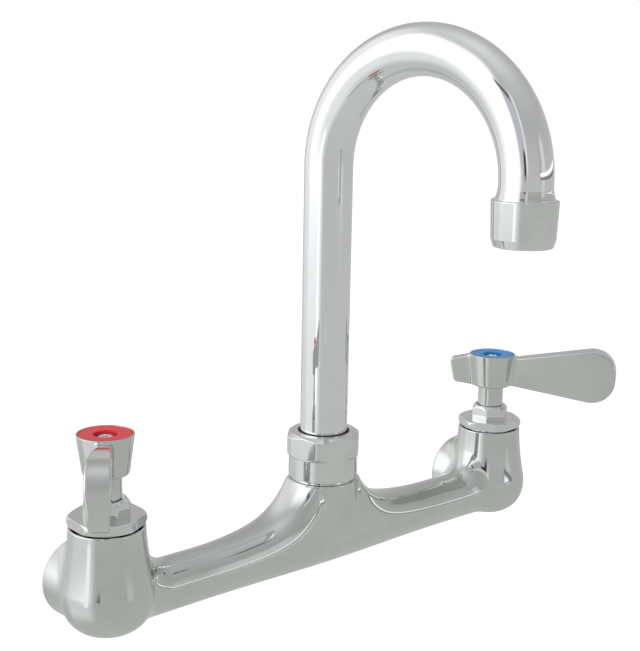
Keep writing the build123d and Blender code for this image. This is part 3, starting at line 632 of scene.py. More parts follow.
def casting_distance(sizes):
    """Distance to the whole body casting, before its rims are cut."""
    flank_foot = math.sqrt(sizes.ball_radius**2 - sizes.flank_start**2)
    flank_height = sizes.column_top - sizes.flank_start
    lean = (sizes.rim_radius - flank_foot) / flank_height
    ball_lean = sizes.flank_start / flank_foot
    hollow = (lean + ball_lean) * flank_height / 4
    arm_end = valve_x - sizes.ball_radius / 2
    flare_height = sizes.neck_top + sizes.arm_drop - sizes.arm_middle_radius

    def column(x, y, z):
        across = np.hypot(x, y)
        touch = z
        for _ in range(5):
            t = (touch - sizes.flank_start) / flank_height
            radius = flank_foot + lean * flank_height * t - 4 * hollow * t * (1 - t)
            slope = lean - 4 * hollow * (1 - 2 * t) / flank_height
            touch = z + slope * (across - radius)
        flank_way = np.stack([across, -slope * across], axis=-1)
        flank_way /= np.linalg.norm(flank_way, axis=-1, keepdims=True)
        flank = (across - radius) * flank_way[..., 0]
        on_ball = z < ball_lean * across
        depth = np.where(z < 0, sizes.ball_depth, sizes.ball_radius)
        power = np.where(z < 0, sizes.ball_power, 2)
        out_share, up_share = across / sizes.ball_radius, np.abs(z) / depth
        share = np.maximum((out_share**power + up_share**power) ** (1 / power), 1e-3)
        ball_way = np.stack(
            [
                (out_share / share) ** (power - 1) / sizes.ball_radius,
                (up_share / share) ** (power - 1) / depth * np.sign(z),
            ],
            axis=-1,
        )
        steep = np.linalg.norm(ball_way, axis=-1)
        way = np.where(on_ball[..., None], ball_way / steep[..., None], flank_way)
        distance = np.where(on_ball, (share - 1) / steep, flank)
        return distance, np.stack([way[..., 0] * x / across, way[..., 0] * y / across, way[..., 1]], axis=-1)

    def arm(x, y, z):
        far = np.abs(x)
        radius = sizes.arm_radius + (sizes.arm_middle_radius - sizes.arm_radius) * (1 - (far / valve_x) ** 2)
        run = np.maximum(far, sizes.neck_radius * flare_start_share) - sizes.neck_radius
        fade = 1 - ease((far - sizes.flare_fade) / (sizes.flare_reach - sizes.flare_fade))
        rise = flare_height * np.exp(-run / sizes.flare_decay) * fade
        spread = 1 - ease(far / sizes.flare_reach)
        wide = radius + sizes.flare_spread * spread
        up = z + sizes.arm_drop
        tall = radius + np.where(up > 0, rise, 0)
        power = 2 + np.where(up > 0, sizes.flare_squareness * spread, 0)
        out_share, up_share = np.abs(y) / wide, np.abs(up) / tall
        share = np.maximum((out_share**power + up_share**power) ** (1 / power), 1e-3)
        way_y = (out_share / share) ** (power - 1) * np.sign(y) / wide
        way_z = (up_share / share) ** (power - 1) * np.sign(up) / tall
        way_x = np.sign(x) * (up_share / share) ** power * share * (tall - radius) / sizes.flare_decay / tall
        way = np.stack([way_x, way_y, way_z], axis=-1)
        steep = np.maximum(np.linalg.norm(way, axis=-1), 1e-6)
        side = (share - 1) / steep
        past = far - arm_end
        return np.maximum(side, past), way / steep[..., None]

    def boss(x, y, z):
        across = np.hypot(x, z)
        taper = (sizes.boss_rim_radius - sizes.boss_root_radius) / -valve_y
        way = np.stack([x / across, -taper + 0 * y, z / across], axis=-1) / math.hypot(1, taper)
        return np.maximum(across - sizes.boss_rim_radius - taper * y, valve_y - y), way

    def neck(x, y, z):
        across = np.hypot(x, y)
        unflared = np.clip(1 - (sizes.neck_top - z) / sizes.neck_radius, 0, 1)
        radius = sizes.neck_belly - (sizes.neck_belly - sizes.neck_radius) * unflared**2
        side, foot = across - radius, -sizes.neck_foot - z
        rounding = neck_rounding_share * sizes.neck_belly
        out, down = np.maximum(side + rounding, 1e-6), np.maximum(foot + rounding, 0)
        reach = np.hypot(out, down)
        way = np.stack([x / across * out, y / across * out, -down], axis=-1) / reach[..., None]
        return reach + np.minimum(np.maximum(side, foot) + rounding, 0) - rounding, way

    def distance(points):
        x, y, z = points[..., 0], points[..., 1] - valve_y, points[..., 2]
        off = np.abs(x) - valve_x
        arm_distance, arm_way = arm(x, y, z)
        mirrored = np.stack([arm_way[..., 0] * np.sign(x), arm_way[..., 1], arm_way[..., 2]], axis=-1)
        ends = rolled_union(column(off, y, z), (arm_distance, mirrored), sizes.arm_fillet)
        boss_distance, boss_way = boss(off, y + valve_y, z)
        ends = rolled_union(ends, (boss_distance, boss_way), sizes.boss_fillet)
        near_rim = ease((sizes.neck_top - z) / (2 * sizes.neck_fillet))
        neck_distance, neck_way = neck(np.abs(x), y, z)
        return rolled_union(ends, (neck_distance, neck_way), sizes.neck_fillet * near_rim + 1e-4)[0]

    return distance


def quarter_round(radius, height, rounding, steps=5):
    """Points of a rounded rim, from its side over to its flat top."""
    angles = np.linspace(0, math.pi / 2, steps + 1)
    return [(radius - rounding * (1 - math.cos(a)), height - rounding * (1 - math.sin(a))) for a in angles]


def build_casting(sizes):
    """The body casting with its bored columns, inlets and threaded nipple."""
    distance = casting_distance(sizes)
    margin = 2 * sizes.cell
    reach = valve_x + sizes.ball_radius + margin
    low = (-reach, valve_y - sizes.ball_radius - margin, -sizes.ball_radius - margin)
    high = (reach, margin, sizes.column_top + margin)
    skin = Skin(distance, low, high, sizes.cell)
    up, back = Vector((0, 0, 1)), Vector((0, 1, 0))
    cartridge_top = radius_of("cold_cartridge_body") + cartridge_play
    seat = foot_of("cold_seat_washer")
    for side in sides.values():
        centre = Vector((side * valve_x, valve_y, 0))
        edge = sizes.rim_edge
        rim = skin.cut(
            centre + up * (sizes.column_top - edge), up, lambda c: c.x * side > valve_x - sizes.ball_radius
        )
        outline = quarter_round(sizes.rim_radius, sizes.column_top, edge)
        for radius, height in (
            (cartridge_top + edge, sizes.column_top),
            (cartridge_top, sizes.column_top - edge),
            (cartridge_top, cartridge_shoulder),
            (cartridge_bore_radius, cartridge_shoulder),
            (cartridge_bore_radius, seat),
            (0, seat),
        ):
            outline.append((radius, height))
        skin.carry_on(rim, centre, up, outline)

        centre = Vector((side * valve_x, 0, 0))
        rim = skin.cut(
            centre - back * sizes.boss_edge, back, lambda c: c.y > -2 * sizes.boss_edge and c.x * side > 0
        )
        outline = quarter_round(sizes.boss_rim_radius - boss_rim_inset, 0, sizes.boss_edge)
        for radius, height in (
            (sizes.inlet_bore + 2 * edge, 0),
            (sizes.inlet_bore, -2 * edge),
            (sizes.inlet_bore, -sizes.inlet_depth),
            (0, -sizes.inlet_depth),
        ):
            outline.append((radius, height))
        skin.carry_on(rim, centre, back, outline)

    centre = Vector((0, valve_y, 0))
    edge = sizes.rim_edge
    rim = skin.cut(centre + up * (sizes.neck_top - edge), up, lambda c: abs(c.x) < 2 * sizes.neck_radius)
    outline = quarter_round(sizes.neck_radius, sizes.neck_top, edge)
    nipple = radius_of("thrust_washer") + nipple_play
    bore_floor = foot_of("spout_spigot") - spigot_room
    for radius, height in (
        (nipple, sizes.neck_top),
        (nipple, nipple_top),
        (spigot_bore_radius, nipple_top),
        (spigot_bore_radius, bore_floor),
        (0, bore_floor),
    ):
        outline.append((radius, height))
    skin.carry_on(rim, centre, up, outline)
    mesh, facing = skin.finished()
    add_piece("faucet_body_polished", mesh, "cast chrome", "root", ["faucet_body"], facing)


def build_swivel_nut(sizes):
    """The hexagon nut with its round skirt, flats milled into a turned blank."""
    ledge = nut_foot + sizes.skirt_height
    thread = radius_of("thrust_washer") + nipple_play
    shelf = top_of("thrust_washer") + flange_room
    corners = [
        (thread, nut_foot, 0.0003),
        (sizes.skirt_radius, nut_foot, 0.0005),
        (sizes.skirt_radius, ledge, 0.0002),
        (sizes.blank_radius - sizes.foot_chamfer, ledge, 0.0001),
        (sizes.blank_radius, ledge + sizes.foot_chamfer_height, 0.0004),
        (sizes.blank_radius, nut_top - sizes.chamfer_height, 0.0005),
        (sizes.blank_radius - sizes.chamfer, nut_top, 0.0006),
        (sizes.mouth_radius, nut_top, 0.0004),
        (sizes.mouth_radius, shelf, 0.0002),
        (thread, shelf, 0.0002),
    ]

    def milled(radii, heights, angles):
        limit = hexagon_limit(angles, sizes.half_flats, sizes.corner_heading)
        return soft_union(radii, limit, sizes.edge)

    outline = dense(rounded(corners), outline_step)
    mesh, facing = mesh_of([turned(outline, neck_axis, 360, milled)])
    add_piece("swivel_nut_polished", mesh, "turned chrome", "root", ["swivel_nut"], facing)


def build_valve_nuts(name, side, sizes, column_top):
    """Lock nut and packing nut of one valve."""
    foot = column_top + sizes.lock_gap
    top = foot + sizes.lock_height
    thread = radius_of(f"{name}_cartridge_body") + lock_thread_play
    thread_foot = foot_of(f"{name}_lock_nut")
    centre = (side * valve_x, valve_y, 0)
    corners = [
        (lock_hole_radius, thread_foot, 0.0002),
        (thread, thread_foot, 0.0002),
        (thread, foot, 0.0002),
        (sizes.lock_foot_radius, foot, 0.0003),
        (sizes.lock_radius, foot + lock_belly_share * sizes.lock_height, lock_belly_round),
        (sizes.lock_radius, top - 0.0001, sizes.lock_shoulder),
        (lock_hole_radius, top, 0.0003),
    ]

    def lock_flats(radii, heights, angles):
        limit = hexagon_limit(angles, sizes.lock_half_flats, lock_corner_headings[name])
        return soft_union(radii, limit, 1.5 * sizes.edge)

    mesh, facing = mesh_of([turned(dense(rounded(corners), outline_step), centre, 288, lock_flats)])
    add_piece(f"{name}_lock_nut_polished", mesh, "turned chrome", "root", [f"{name}_lock_nut"], facing)

    barrel_foot = foot_of(f"{name}_packing_nut")
    well = packing_nut_top - sizes.packing_well
    roof = well - packing_roof
    corners = [
        (packing_bore_radius, barrel_foot, 0.0001),
        (packing_barrel_radius, barrel_foot, 0.0001),
        (packing_barrel_radius, top, 0.0001),
        (sizes.packing_radius, top, 0.0002),
        (sizes.packing_radius - packing_taper, packing_nut_top - sizes.packing_chamfer, 0.0006),
        (sizes.packing_top_radius, packing_nut_top, 0.0004),
        (sizes.packing_well_radius, packing_nut_top, 0.0002),
        (sizes.packing_well_radius, well, 0.0002),
        (packing_eye_radius, well, 0.0001),
        (packing_eye_radius, roof, 0.0001),
        (packing_bore_radius, roof, 0.0001),
    ]

    def packing_flats(radii, heights, angles):
        limit = hexagon_limit(angles, sizes.packing_half_flats, packing_corner_headings[name])
        return np.where(heights > top + 1e-6, soft_union(radii, limit, sizes.edge), radii)

    mesh, facing = mesh_of([turned(dense(rounded(corners), outline_step), centre, 192, packing_flats)])
    add_piece(f"{name}_packing_nut_polished", mesh, "turned chrome", "root", [f"{name}_packing_nut"], facing)


def lever_distance(sizes, centre, heading):
    """Distance to one lever: skirt, hub, blade and tail, before its ends are cut."""
    hub_foot = skirt_foot + sizes.skirt_length
    hub_top = hub_foot + sizes.hub_height
    hub_lean = (sizes.hub_rim_radius - sizes.hub_foot_radius) / sizes.hub_height
    along = Vector((math.sin(heading), -math.cos(heading)))
    tail_top = (
        (tail_shoulder_place[0], hub_foot + tail_shoulder_place[1]),
        (-sizes.tail_reach, hub_foot + tail_tip_top),
    )
    tail_foot = tuple((out, hub_foot + height) for out, height in (tail_tip_foot_place, tail_root_foot_place))
    blade_root = (0, hub_foot + sizes.blade_root_top), (0, hub_foot + sizes.blade_root_foot)
    blade_tip = (
        (sizes.blade_reach, hub_foot + sizes.blade_tip_top),
        (sizes.blade_reach, hub_foot + sizes.blade_tip_foot),
    )

    def blade(s, t, z):
        top = line_side(s, z, blade_root[0], blade_tip[0])
        foot = line_side(s, z, blade_tip[1], blade_root[1])
        outline = round_corner(np.maximum(top, foot), s - sizes.blade_reach, sizes.blade_corner)
        outline = np.maximum(outline, -s)
        down_share = -top / np.maximum(-top - foot, 0.001)
        tip_half = sizes.blade_tip_half - sizes.blade_thinning * ease((down_share - thick_share) / thin_share)
        half = sizes.blade_root_half + (tip_half - sizes.blade_root_half) * s / sizes.blade_reach
        return round_corner(outline, np.abs(t) - half, sizes.blade_edge)

    def tail(s, t, z):
        top = -line_side(s, z, *tail_top)
        tip = -line_side(s, z, tail_top[1], tail_foot[0])
        foot = -line_side(s, z, *tail_foot)
        outline = round_corner(np.maximum(top, foot), tip, tail_corner)
        outline = np.maximum(outline, s)
        return round_corner(outline, np.abs(t) - sizes.blade_root_half, sizes.blade_edge)

    def hub(across, z):
        cone = (across - sizes.hub_foot_radius - hub_lean * (z - hub_foot)) / math.hypot(1, hub_lean)
        solid = round_corner(cone, hub_foot - z, sizes.hub_edge)
        skirt = round_corner(across - sizes.skirt_radius, z - hub_foot - skirt_overlap, skirt_corner)
        return soft_union(solid, skirt, skirt_blend)

    def distance(points):
        x, y, z = points[..., 0] - centre.x, points[..., 1] - centre.y, points[..., 2]
        s, t = x * along.x + y * along.y, x * along.y - y * along.x
        whole = soft_union(hub(np.hypot(x, y), z), blade(s, t, z), blade_blend)
        return soft_union(whole, tail(s, t, z), tail_blend)

    return distance, hub_top


def build_handle(name, side, sizes):
    """Lever, index ring and screw of one valve."""
    centre = Vector((side * valve_x, valve_y, 0))
    distance, hub_top = lever_distance(sizes, centre, side * sizes.heading)
    low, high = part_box(f"{name}_lever")
    margin = Vector((1, 1, 1)) * 2 * sizes.cell
    skin = Skin(distance, low - margin, high + margin, sizes.cell)
    up = Vector((0, 0, 1))
    edge = sizes.rim_edge
    near_hub = sizes.hub_rim_radius + 2 * sizes.cell
    rim = skin.cut(
        centre + up * (hub_top - edge),
        up,
        lambda c: math.hypot(c.x - centre.x, c.y - centre.y) < near_hub and c.z > hub_top - end_depth,
    )
    recess = sizes.hub_rim_radius - sizes.rim_width
    screw_pocket = radius_of(f"{name}_handle_screw") + screw_pocket_play
    screw_top = top_of(f"{name}_handle_screw") + sizes.screw_raise
    screw_seat = screw_top - sizes.screw_head
    outline = quarter_round(sizes.hub_rim_radius, hub_top, edge)
    for radius, height in (
        (recess + edge, hub_top),
        (recess + 0.3 * edge, hub_top - 0.3 * edge),
        (recess, hub_top - edge),
        (recess, index_floor),
        (screw_pocket, index_floor),
        (screw_pocket, screw_seat),
        (0, screw_seat),
    ):
        outline.append((radius, height))
    skin.carry_on(rim, centre, up, outline)
    rim = skin.cut(centre + up * (skirt_foot + 2 * edge), -up, lambda c: c.z < skirt_foot + end_depth)
    outline = quarter_round(sizes.skirt_radius, -skirt_foot, 2 * edge)
    socket_top = top_of(f"{name}_stem")
    outline += [(stem_socket_radius, -skirt_foot), (stem_socket_radius, -socket_top), (0, -socket_top)]
    skin.carry_on(rim, centre, -up, outline)
    mesh, facing = skin.finished()
    body = f"{name}_handle"
    add_piece(f"{name}_lever_polished", mesh, "cast chrome", body, [f"{name}_lever"], facing)

    outer = radius_of(f"{name}_index_ring")
    top = top_of(f"{name}_index_ring")
    corners = [
        (sizes.ring_hole, index_floor, 0.0001),
        (outer, index_floor, 0.0001),
        (outer, top, 0.0003),
        (sizes.ring_hole, top, 0.0004),
    ]
    mesh, facing = mesh_of([turned(rounded(corners), centre, 128)])
    ink = {"hot": "red", "cold": "blue"}[name]
    add_piece(f"{name}_index_ring_moulded", mesh, f"{ink} plastic", body, [f"{name}_index_ring"], facing)
    build_screw(name, centre, screw_seat, screw_top)


def build_screw(name, centre, seat, top):
    """Cross-recess screw at the bottom of the index ring's hole."""
    head = radius_of(f"{name}_handle_screw")
    foot = foot_of(f"{name}_handle_screw")
    corners = [
        (screw_pole, foot, 0),
        (screw_shank_radius, foot, 0.0003),
        (screw_shank_radius, seat, 0.0002),
        (head, seat, 0.0002),
        (head, top - screw_crown_height, 0.0004),
        (screw_crown_share * head, top, screw_crown_round),
        (screw_pole, top, 0),
    ]
    outline = dense(rounded(corners), 0.0002)
    points, faces, facing = turned(outline, centre, 120)
    arm_x, arm_y = np.abs(points[:, 0] - centre.x), np.abs(points[:, 1] - centre.y)
    on_top = points[:, 2] > top - screw_top_depth
    slots = [
        np.maximum(along - screw_slot_half_length, across - screw_slot_half_width)
        for along, across in ((arm_x, arm_y), (arm_y, arm_x))
    ]
    cross = np.minimum(*slots)
    points[:, 2] -= np.where(on_top, screw_slot_depth * ease(0.5 - cross / screw_slot_edge), 0)
    mesh, _ = mesh_of([(points, faces, facing)])
    bm = bmesh.new()
    bm.from_mesh(mesh)
    bmesh.ops.holes_fill(bm, edges=[e for e in bm.edges if e.is_boundary], sides=0)
    bm.to_mesh(mesh)
    bm.free()
    add_piece(
        f"{name}_handle_screw_bright", mesh, "bright steel", f"{name}_handle", [f"{name}_handle_screw"]
    )


def build_outlet(sizes):
    """Ferrule with the flare above the ledge, and the aerator's turned housing."""
    foot, ledge = foot_of("aerator_housing"), top_of("aerator_housing")
    bore = tube_radius + ferrule_play
    ferrule_foot = foot_of("outlet_ferrule")
    flare = []
    for t in np.linspace(0, 1, 9):
        fall = (1 - t) ** flare_power
        radius = sizes.collar_top_radius + (sizes.collar_radius - sizes.collar_top_radius) * fall
        flare.append((radius, ledge + sizes.collar_height * t, 0))
    corners = [
        (bore, ferrule_foot, 0.0001),
        (ferrule_radius, ferrule_foot, 0.0002),
        (ferrule_radius, ledge + 2e-5, 0),
        *flare,
        (bore, ledge + sizes.collar_height, 0),
    ]
    mesh, facing = mesh_of([turned(rounded(corners), outlet_axis, 128)])
    add_piece("outlet_ferrule_polished", mesh, "turned chrome", "spout", ["outlet_ferrule"], facing)
    insert_top = top_of("aerator_insert")
    shelf = foot_of("aerator_insert") - insert_play
    corners = [
        (sizes.mouth_radius, foot, 0.0003),
        (sizes.lip_radius, foot, 0.0005),
        (sizes.foot_radius, foot + sizes.lip_height, 0.0006),
        (sizes.ledge_radius, ledge, 0.0006),
        (housing_bore_radius, ledge, 0.0001),
        (housing_bore_radius, insert_top, 0.0001),
        (insert_bore_radius, insert_top, 0.0001),
        (insert_bore_radius, shelf, 0.0001),
        (sizes.mouth_radius, shelf, 0.0001),
    ]
    mesh, facing = mesh_of([turned(rounded(corners), outlet_axis, 128)])
    add_piece("aerator_housing_polished", mesh, "turned chrome", "spout", ["aerator_housing"], facing)


# ---- Geometry trees ----


class Tree:
    """A geometry tree that is built in the script, with named inputs."""

    def __init__(self, name):
        self.tree = bpy.data.node_groups.new(name, "GeometryNodeTree")
        self.tree.interface.new_socket("Geometry", in_out="OUTPUT", socket_type="NodeSocketGeometry")
        self.inputs = self.tree.nodes.new("NodeGroupInput")
        self.values = {}

    def size(self, name, value, kind="NodeSocketFloat"):
        """Add a named input and return its socket."""
        socket = self.tree.interface.new_socket(name, in_out="INPUT", socket_type=kind)
        self.values[socket.identifier] = value
        return self.inputs.outputs[name]

    def node(self, kind, settings=None, **links):
        """Add a node; links are by socket name with underscores, or by number as in_0."""
        node = self.tree.nodes.new(kind)
        for key, value in (settings or {}).items():
            setattr(node, key, value)
        for key, value in links.items():
            socket_key = int(key[3:]) if key.startswith("in_") else key.replace("_", " ")
            socket = node.inputs[socket_key]
            if isinstance(value, bpy.types.NodeSocket):
                self.tree.links.new(value, socket)
            else:
                socket.default_value = value
        return node

    def math(self, operation, a, b=0.0):
        """One arithmetic step."""
        return self.node("ShaderNodeMath", {"operation": operation}, in_0=a, in_1=b).outputs[0]

    def build(self, geometry, finish):
        """End the tree, run it once and return its plain mesh."""
        real = self.node("GeometryNodeRealizeInstances", Geometry=geometry).outputs[0]
        smooth = self.node("GeometryNodeSetShadeSmooth", Geometry=real).outputs[0]
        painted = self.node("GeometryNodeSetMaterial", Geometry=smooth, Material=bpy.data.materials[finish])
        end = self.tree.nodes.new("NodeGroupOutput")
        self.tree.links.new(painted.outputs[0], end.inputs[0])
        carrier = bpy.data.objects.new("carrier", bpy.data.meshes.new("carrier"))
        bpy.context.scene.collection.objects.link(carrier)
        modifier = carrier.modifiers.new("tree", "NODES")
        modifier.node_group = self.tree
        for identifier, value in self.values.items():
            modifier[identifier] = value
        graph = bpy.context.evaluated_depsgraph_get()
        mesh = bpy.data.meshes.new_from_object(carrier.evaluated_get(graph))
        bpy.data.objects.remove(carrier)
        if not mesh.polygons:
            raise RuntimeError(f"the tree {self.tree.name} made no faces")
        return mesh


def build_tube(sizes):
    """The gooseneck: a riser, a half turn and a short leg down, as one swept tube."""
    tree = Tree("Gooseneck")
    foot = foot_of("spout_tube")
    crown = top_of("spout_tube") - tube_radius
    bend = bend_span / 2
    riser = tree.size("Riser length", crown - bend - foot)
    radius = tree.size("Bend radius", bend)
    leg = tree.size("Leg length", crown - bend - foot_of("outlet_ferrule") - tube_end_lift)
    thick = tree.size("Tube radius", tube_radius)
    rings = tree.size("Rings", sizes.rings, "NodeSocketInt")
    around = tree.size("Around", sizes.around, "NodeSocketInt")
    line = tree.node("GeometryNodeCurvePrimitiveLine", in_1=(0.0, 0.0, 1.0))
    sampled = tree.node("GeometryNodeResampleCurve", Curve=line.outputs[0], Count=rings)
    factor = tree.node("GeometryNodeSplineParameter").outputs["Factor"]
    arc = tree.math("MULTIPLY", radius, math.pi)
    whole = tree.math("ADD", tree.math("ADD", riser, arc), leg)
    run = tree.math("MULTIPLY", factor, whole)
    angle = tree.math("DIVIDE", tree.math("SUBTRACT", run, riser), radius)
    angle = tree.math("MINIMUM", tree.math("MAXIMUM", angle, 0.0), math.pi)
    out = tree.math("SUBTRACT", radius, tree.math("MULTIPLY", radius, tree.math("COSINE", angle)))
    lift = tree.math("MULTIPLY", radius, tree.math("SINE", angle))
    risen = tree.math("ADD", tree.math("MINIMUM", run, riser), lift)
    down = tree.math("MAXIMUM", tree.math("SUBTRACT", tree.math("SUBTRACT", run, riser), arc), 0.0)
    height = tree.math("ADD", tree.math("SUBTRACT", risen, down), foot)
    x = tree.math("ADD", tree.math("MULTIPLY", out, math.sin(spout_heading)), neck_axis.x)
    y = tree.math("ADD", tree.math("MULTIPLY", out, -math.cos(spout_heading)), neck_axis.y)
    place = tree.node("ShaderNodeCombineXYZ", X=x, Y=y, Z=height).outputs[0]
    path = tree.node("GeometryNodeSetPosition", Geometry=sampled.outputs[0], Position=place)
    profile = tree.node("GeometryNodeCurvePrimitiveCircle", Resolution=around, Radius=thick)
    tube = tree.node(
        "GeometryNodeCurveToMesh", in_0=path.outputs[0], in_1=profile.outputs[0], Fill_Caps=True
    )
    mesh = tree.build(tube.outputs[0], "drawn chrome")
    add_piece("spout_tube_polished", mesh, "drawn chrome", "spout", ["spout_tube"])


def build_insert(sizes):
    """The outlet's insert, perforated in rings."""
    tree = Tree("Perforated insert")
    low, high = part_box("aerator_insert")
    hole = tree.size("Hole radius", sizes.hole_radius)
    disc = tree.size("Disc radius", (high.x - low.x) / 2)
    thick = tree.size("Thickness", high.z - low.z)
    plate = tree.node("GeometryNodeMeshCylinder", Vertices=96, Radius=disc, Depth=thick)
    drill_depth = tree.math("MULTIPLY", thick, 2.0)
    drill = tree.node("GeometryNodeMeshCylinder", Vertices=20, Radius=hole, Depth=drill_depth)
    drills = tree.node("GeometryNodeJoinGeometry")
    for count, radius in insert_hole_rings:
        ring = tree.node("GeometryNodeMeshCircle", Vertices=count, Radius=radius)
        holes = tree.node("GeometryNodeInstanceOnPoints", Points=ring.outputs[0], Instance=drill.outputs[0])
        tree.tree.links.new(holes.outputs[0], drills.inputs[0])
    tree.tree.links.new(drill.outputs[0], drills.inputs[0])
    cutters = tree.node("GeometryNodeRealizeInstances", Geometry=drills.outputs[0])
    cut = tree.node(
        "GeometryNodeMeshBoolean", {"operation": "DIFFERENCE"}, in_0=plate.outputs[0], in_1=cutters.outputs[0]
    )
    place = tree.node("GeometryNodeTransform", Geometry=cut.outputs[0], Translation=tuple((low + high) / 2))
    mesh = tree.build(place.outputs[0], "grey plastic")
    piece = add_piece("aerator_insert_moulded", mesh, "grey plastic", "spout", ["aerator_insert"])
    for polygon in piece.data.polygons:
        polygon.use_smooth = False


def build_threads(sizes):
    """Thread ridges in both inlets, as one coiled ridge each."""
    tree = Tree("Inlet thread")
    radius = tree.size("Bore radius", sizes.inlet_bore + thread_play)
    rise = tree.size("Thread length", thread_pitch * thread_turns)
    coil = tree.node(
        "GeometryNodeCurveSpiral",
        Resolution=64,
        Rotations=float(thread_turns),
        Start_Radius=radius,
        End_Radius=radius,
        Height=rise,
    )
    profile = tree.node("GeometryNodeCurvePrimitiveCircle", Resolution=6, Radius=thread_ridge)
    ridge = tree.node(
        "GeometryNodeCurveToMesh", in_0=coil.outputs[0], in_1=profile.outputs[0], Fill_Caps=True
    )
    both = tree.node("GeometryNodeJoinGeometry")
    for side in sides.values():
        lying = tree.node(
            "GeometryNodeTransform",
            Geometry=ridge.outputs[0],
            Translation=(side * valve_x, -thread_start, 0.0),
            Rotation=(math.pi / 2, 0.0, 0.0),
        )
        tree.tree.links.new(lying.outputs[0], both.inputs[0])
    mesh = tree.build(both.outputs[0], "cast chrome")
    add_piece("inlet_threads", mesh, "cast chrome", "root", [])


# ---- Finishes ----

ripple_finer = 1.7  # how much finer the ripple is than the film
film_keeps = 0.85  # share of a plain colour that the film leaves
film_adds = 0.02  # grey that it adds
index_ring_gloss = 0.15


class Finish:
    """A material with one surface shader and object coordinates."""

    def __init__(self, name, base, roughness, metallic=0.0):
        self.material = bpy.data.materials.new(name)
        self.material.use_nodes = True
        self.tree = self.material.node_tree
        self.shader = self.tree.nodes["Principled BSDF"]
        self.shader.inputs["Base Color"].default_value = (*base, 1)
        self.shader.inputs["Roughness"].default_value = roughness
        self.shader.inputs["Metallic"].default_value = metallic
        self.place = self.tree.nodes.new("ShaderNodeTexCoord").outputs["Object"]

    def effect(self, group, **values):
        """Place a shared effect with its own values."""
        node = self.tree.nodes.new("ShaderNodeGroup")
        node.node_tree = bpy.data.node_groups[group]
        self.tree.links.new(self.place, node.inputs["Vector"])
        for key, value in values.items():
            node.inputs[key.replace("_", " ")].default_value = value
        return node

    def feed(self, output, socket):
        """Link an output to one of the shader's sockets."""
        self.tree.links.new(output, self.shader.inputs[socket])

    def bump(self, height, distance):
        """Feed a height to the shader's normal."""
        node = self.tree.nodes.new("ShaderNodeBump")
        node.inputs["Distance"].default_value = distance
        node.inputs["Strength"].default_value = 1.0
        self.tree.links.new(height, node.inputs["Height"])
        self.feed(node.outputs["Normal"], "Normal")

    def film(self, clean, filmed, smooth, hazy, scale, depth):
        """Lay the shared film and a fine ripple over the surface."""
        film = self.effect(
            "Surface film", Scale=scale, Clean=(*clean, 1), Filmed=(*filmed, 1), Smooth=smooth, Hazy=hazy
        )
        self.feed(film.outputs["Color"], "Base Color")
        self.feed(film.outputs["Roughness"], "Roughness")
        self.bump(self.effect("Ripple", Scale=scale * ripple_finer).outputs["Height"], depth)


def new_effect(name, inputs, outputs):
    """An empty shader group with named sockets."""
    tree = bpy.data.node_groups.new(name, "ShaderNodeTree")
    tree.interface.new_socket("Vector", in_out="INPUT", socket_type="NodeSocketVector")
    for key, value in inputs.items():
        kind = "NodeSocketColor" if isinstance(value, tuple) else "NodeSocketFloat"
        socket = tree.interface.new_socket(key, in_out="INPUT", socket_type=kind)
        socket.default_value = (*value, 1) if isinstance(value, tuple) else value
    for key, kind in outputs.items():
        tree.interface.new_socket(key, in_out="OUTPUT", socket_type=kind)
    return tree, tree.nodes.new("NodeGroupInput"), tree.nodes.new("NodeGroupOutput")


def noise(tree, start, detail, distortion=0.0):
    """A noise texture on a group's own place and scale."""
    node = tree.nodes.new("ShaderNodeTexNoise")
    tree.links.new(start.outputs["Vector"], node.inputs["Vector"])
    tree.links.new(start.outputs["Scale"], node.inputs["Scale"])
    node.inputs["Detail"].default_value = detail
    node.inputs["Distortion"].default_value = distortion
    return node.outputs[0]


def mapped(tree, value, low, high, to_low, to_high):
    """Bring a value from one range to another; the last two may be sockets."""
    node = tree.nodes.new("ShaderNodeMapRange")
    tree.links.new(value, node.inputs["Value"])
    for key, amount in (("From Min", low), ("From Max", high), ("To Min", to_low), ("To Max", to_high)):
        if isinstance(amount, bpy.types.NodeSocket):
            tree.links.new(amount, node.inputs[key])
        else:
            node.inputs[key].default_value = amount
    return node.outputs["Result"]


def mixed(tree, share, one, other):
    """Mix two colour sockets."""
    node = tree.nodes.new("ShaderNodeMix")
    node.data_type = "RGBA"
    tree.links.new(share, node.inputs["Factor"])
    tree.links.new(one, node.inputs[6])
    tree.links.new(other, node.inputs[7])
    return node.outputs[2]


def make_effects():
    """The effects that the finishes share."""
    tree, start, end = new_effect(
        "Surface film",
        {"Scale": 60.0, "Clean": (0.8, 0.8, 0.8), "Filmed": (0.7, 0.7, 0.7), "Smooth": 0.05, "Hazy": 0.12},
        {"Color": "NodeSocketColor", "Roughness": "NodeSocketFloat"},
    )
    cloud = noise(tree, start, 4.0, 0.6)
    mask = mapped(tree, cloud, 0.35, 0.75, 0.0, 1.0)
    tree.links.new(mixed(tree, mask, start.outputs["Clean"], start.outputs["Filmed"]), end.inputs["Color"])
    haze = mapped(tree, mask, 0.0, 1.0, start.outputs["Smooth"], start.outputs["Hazy"])
    tree.links.new(haze, end.inputs["Roughness"])

    tree, start, end = new_effect("Ripple", {"Scale": 60.0}, {"Height": "NodeSocketFloat"})
    tree.links.new(noise(tree, start, 1.0), end.inputs["Height"])


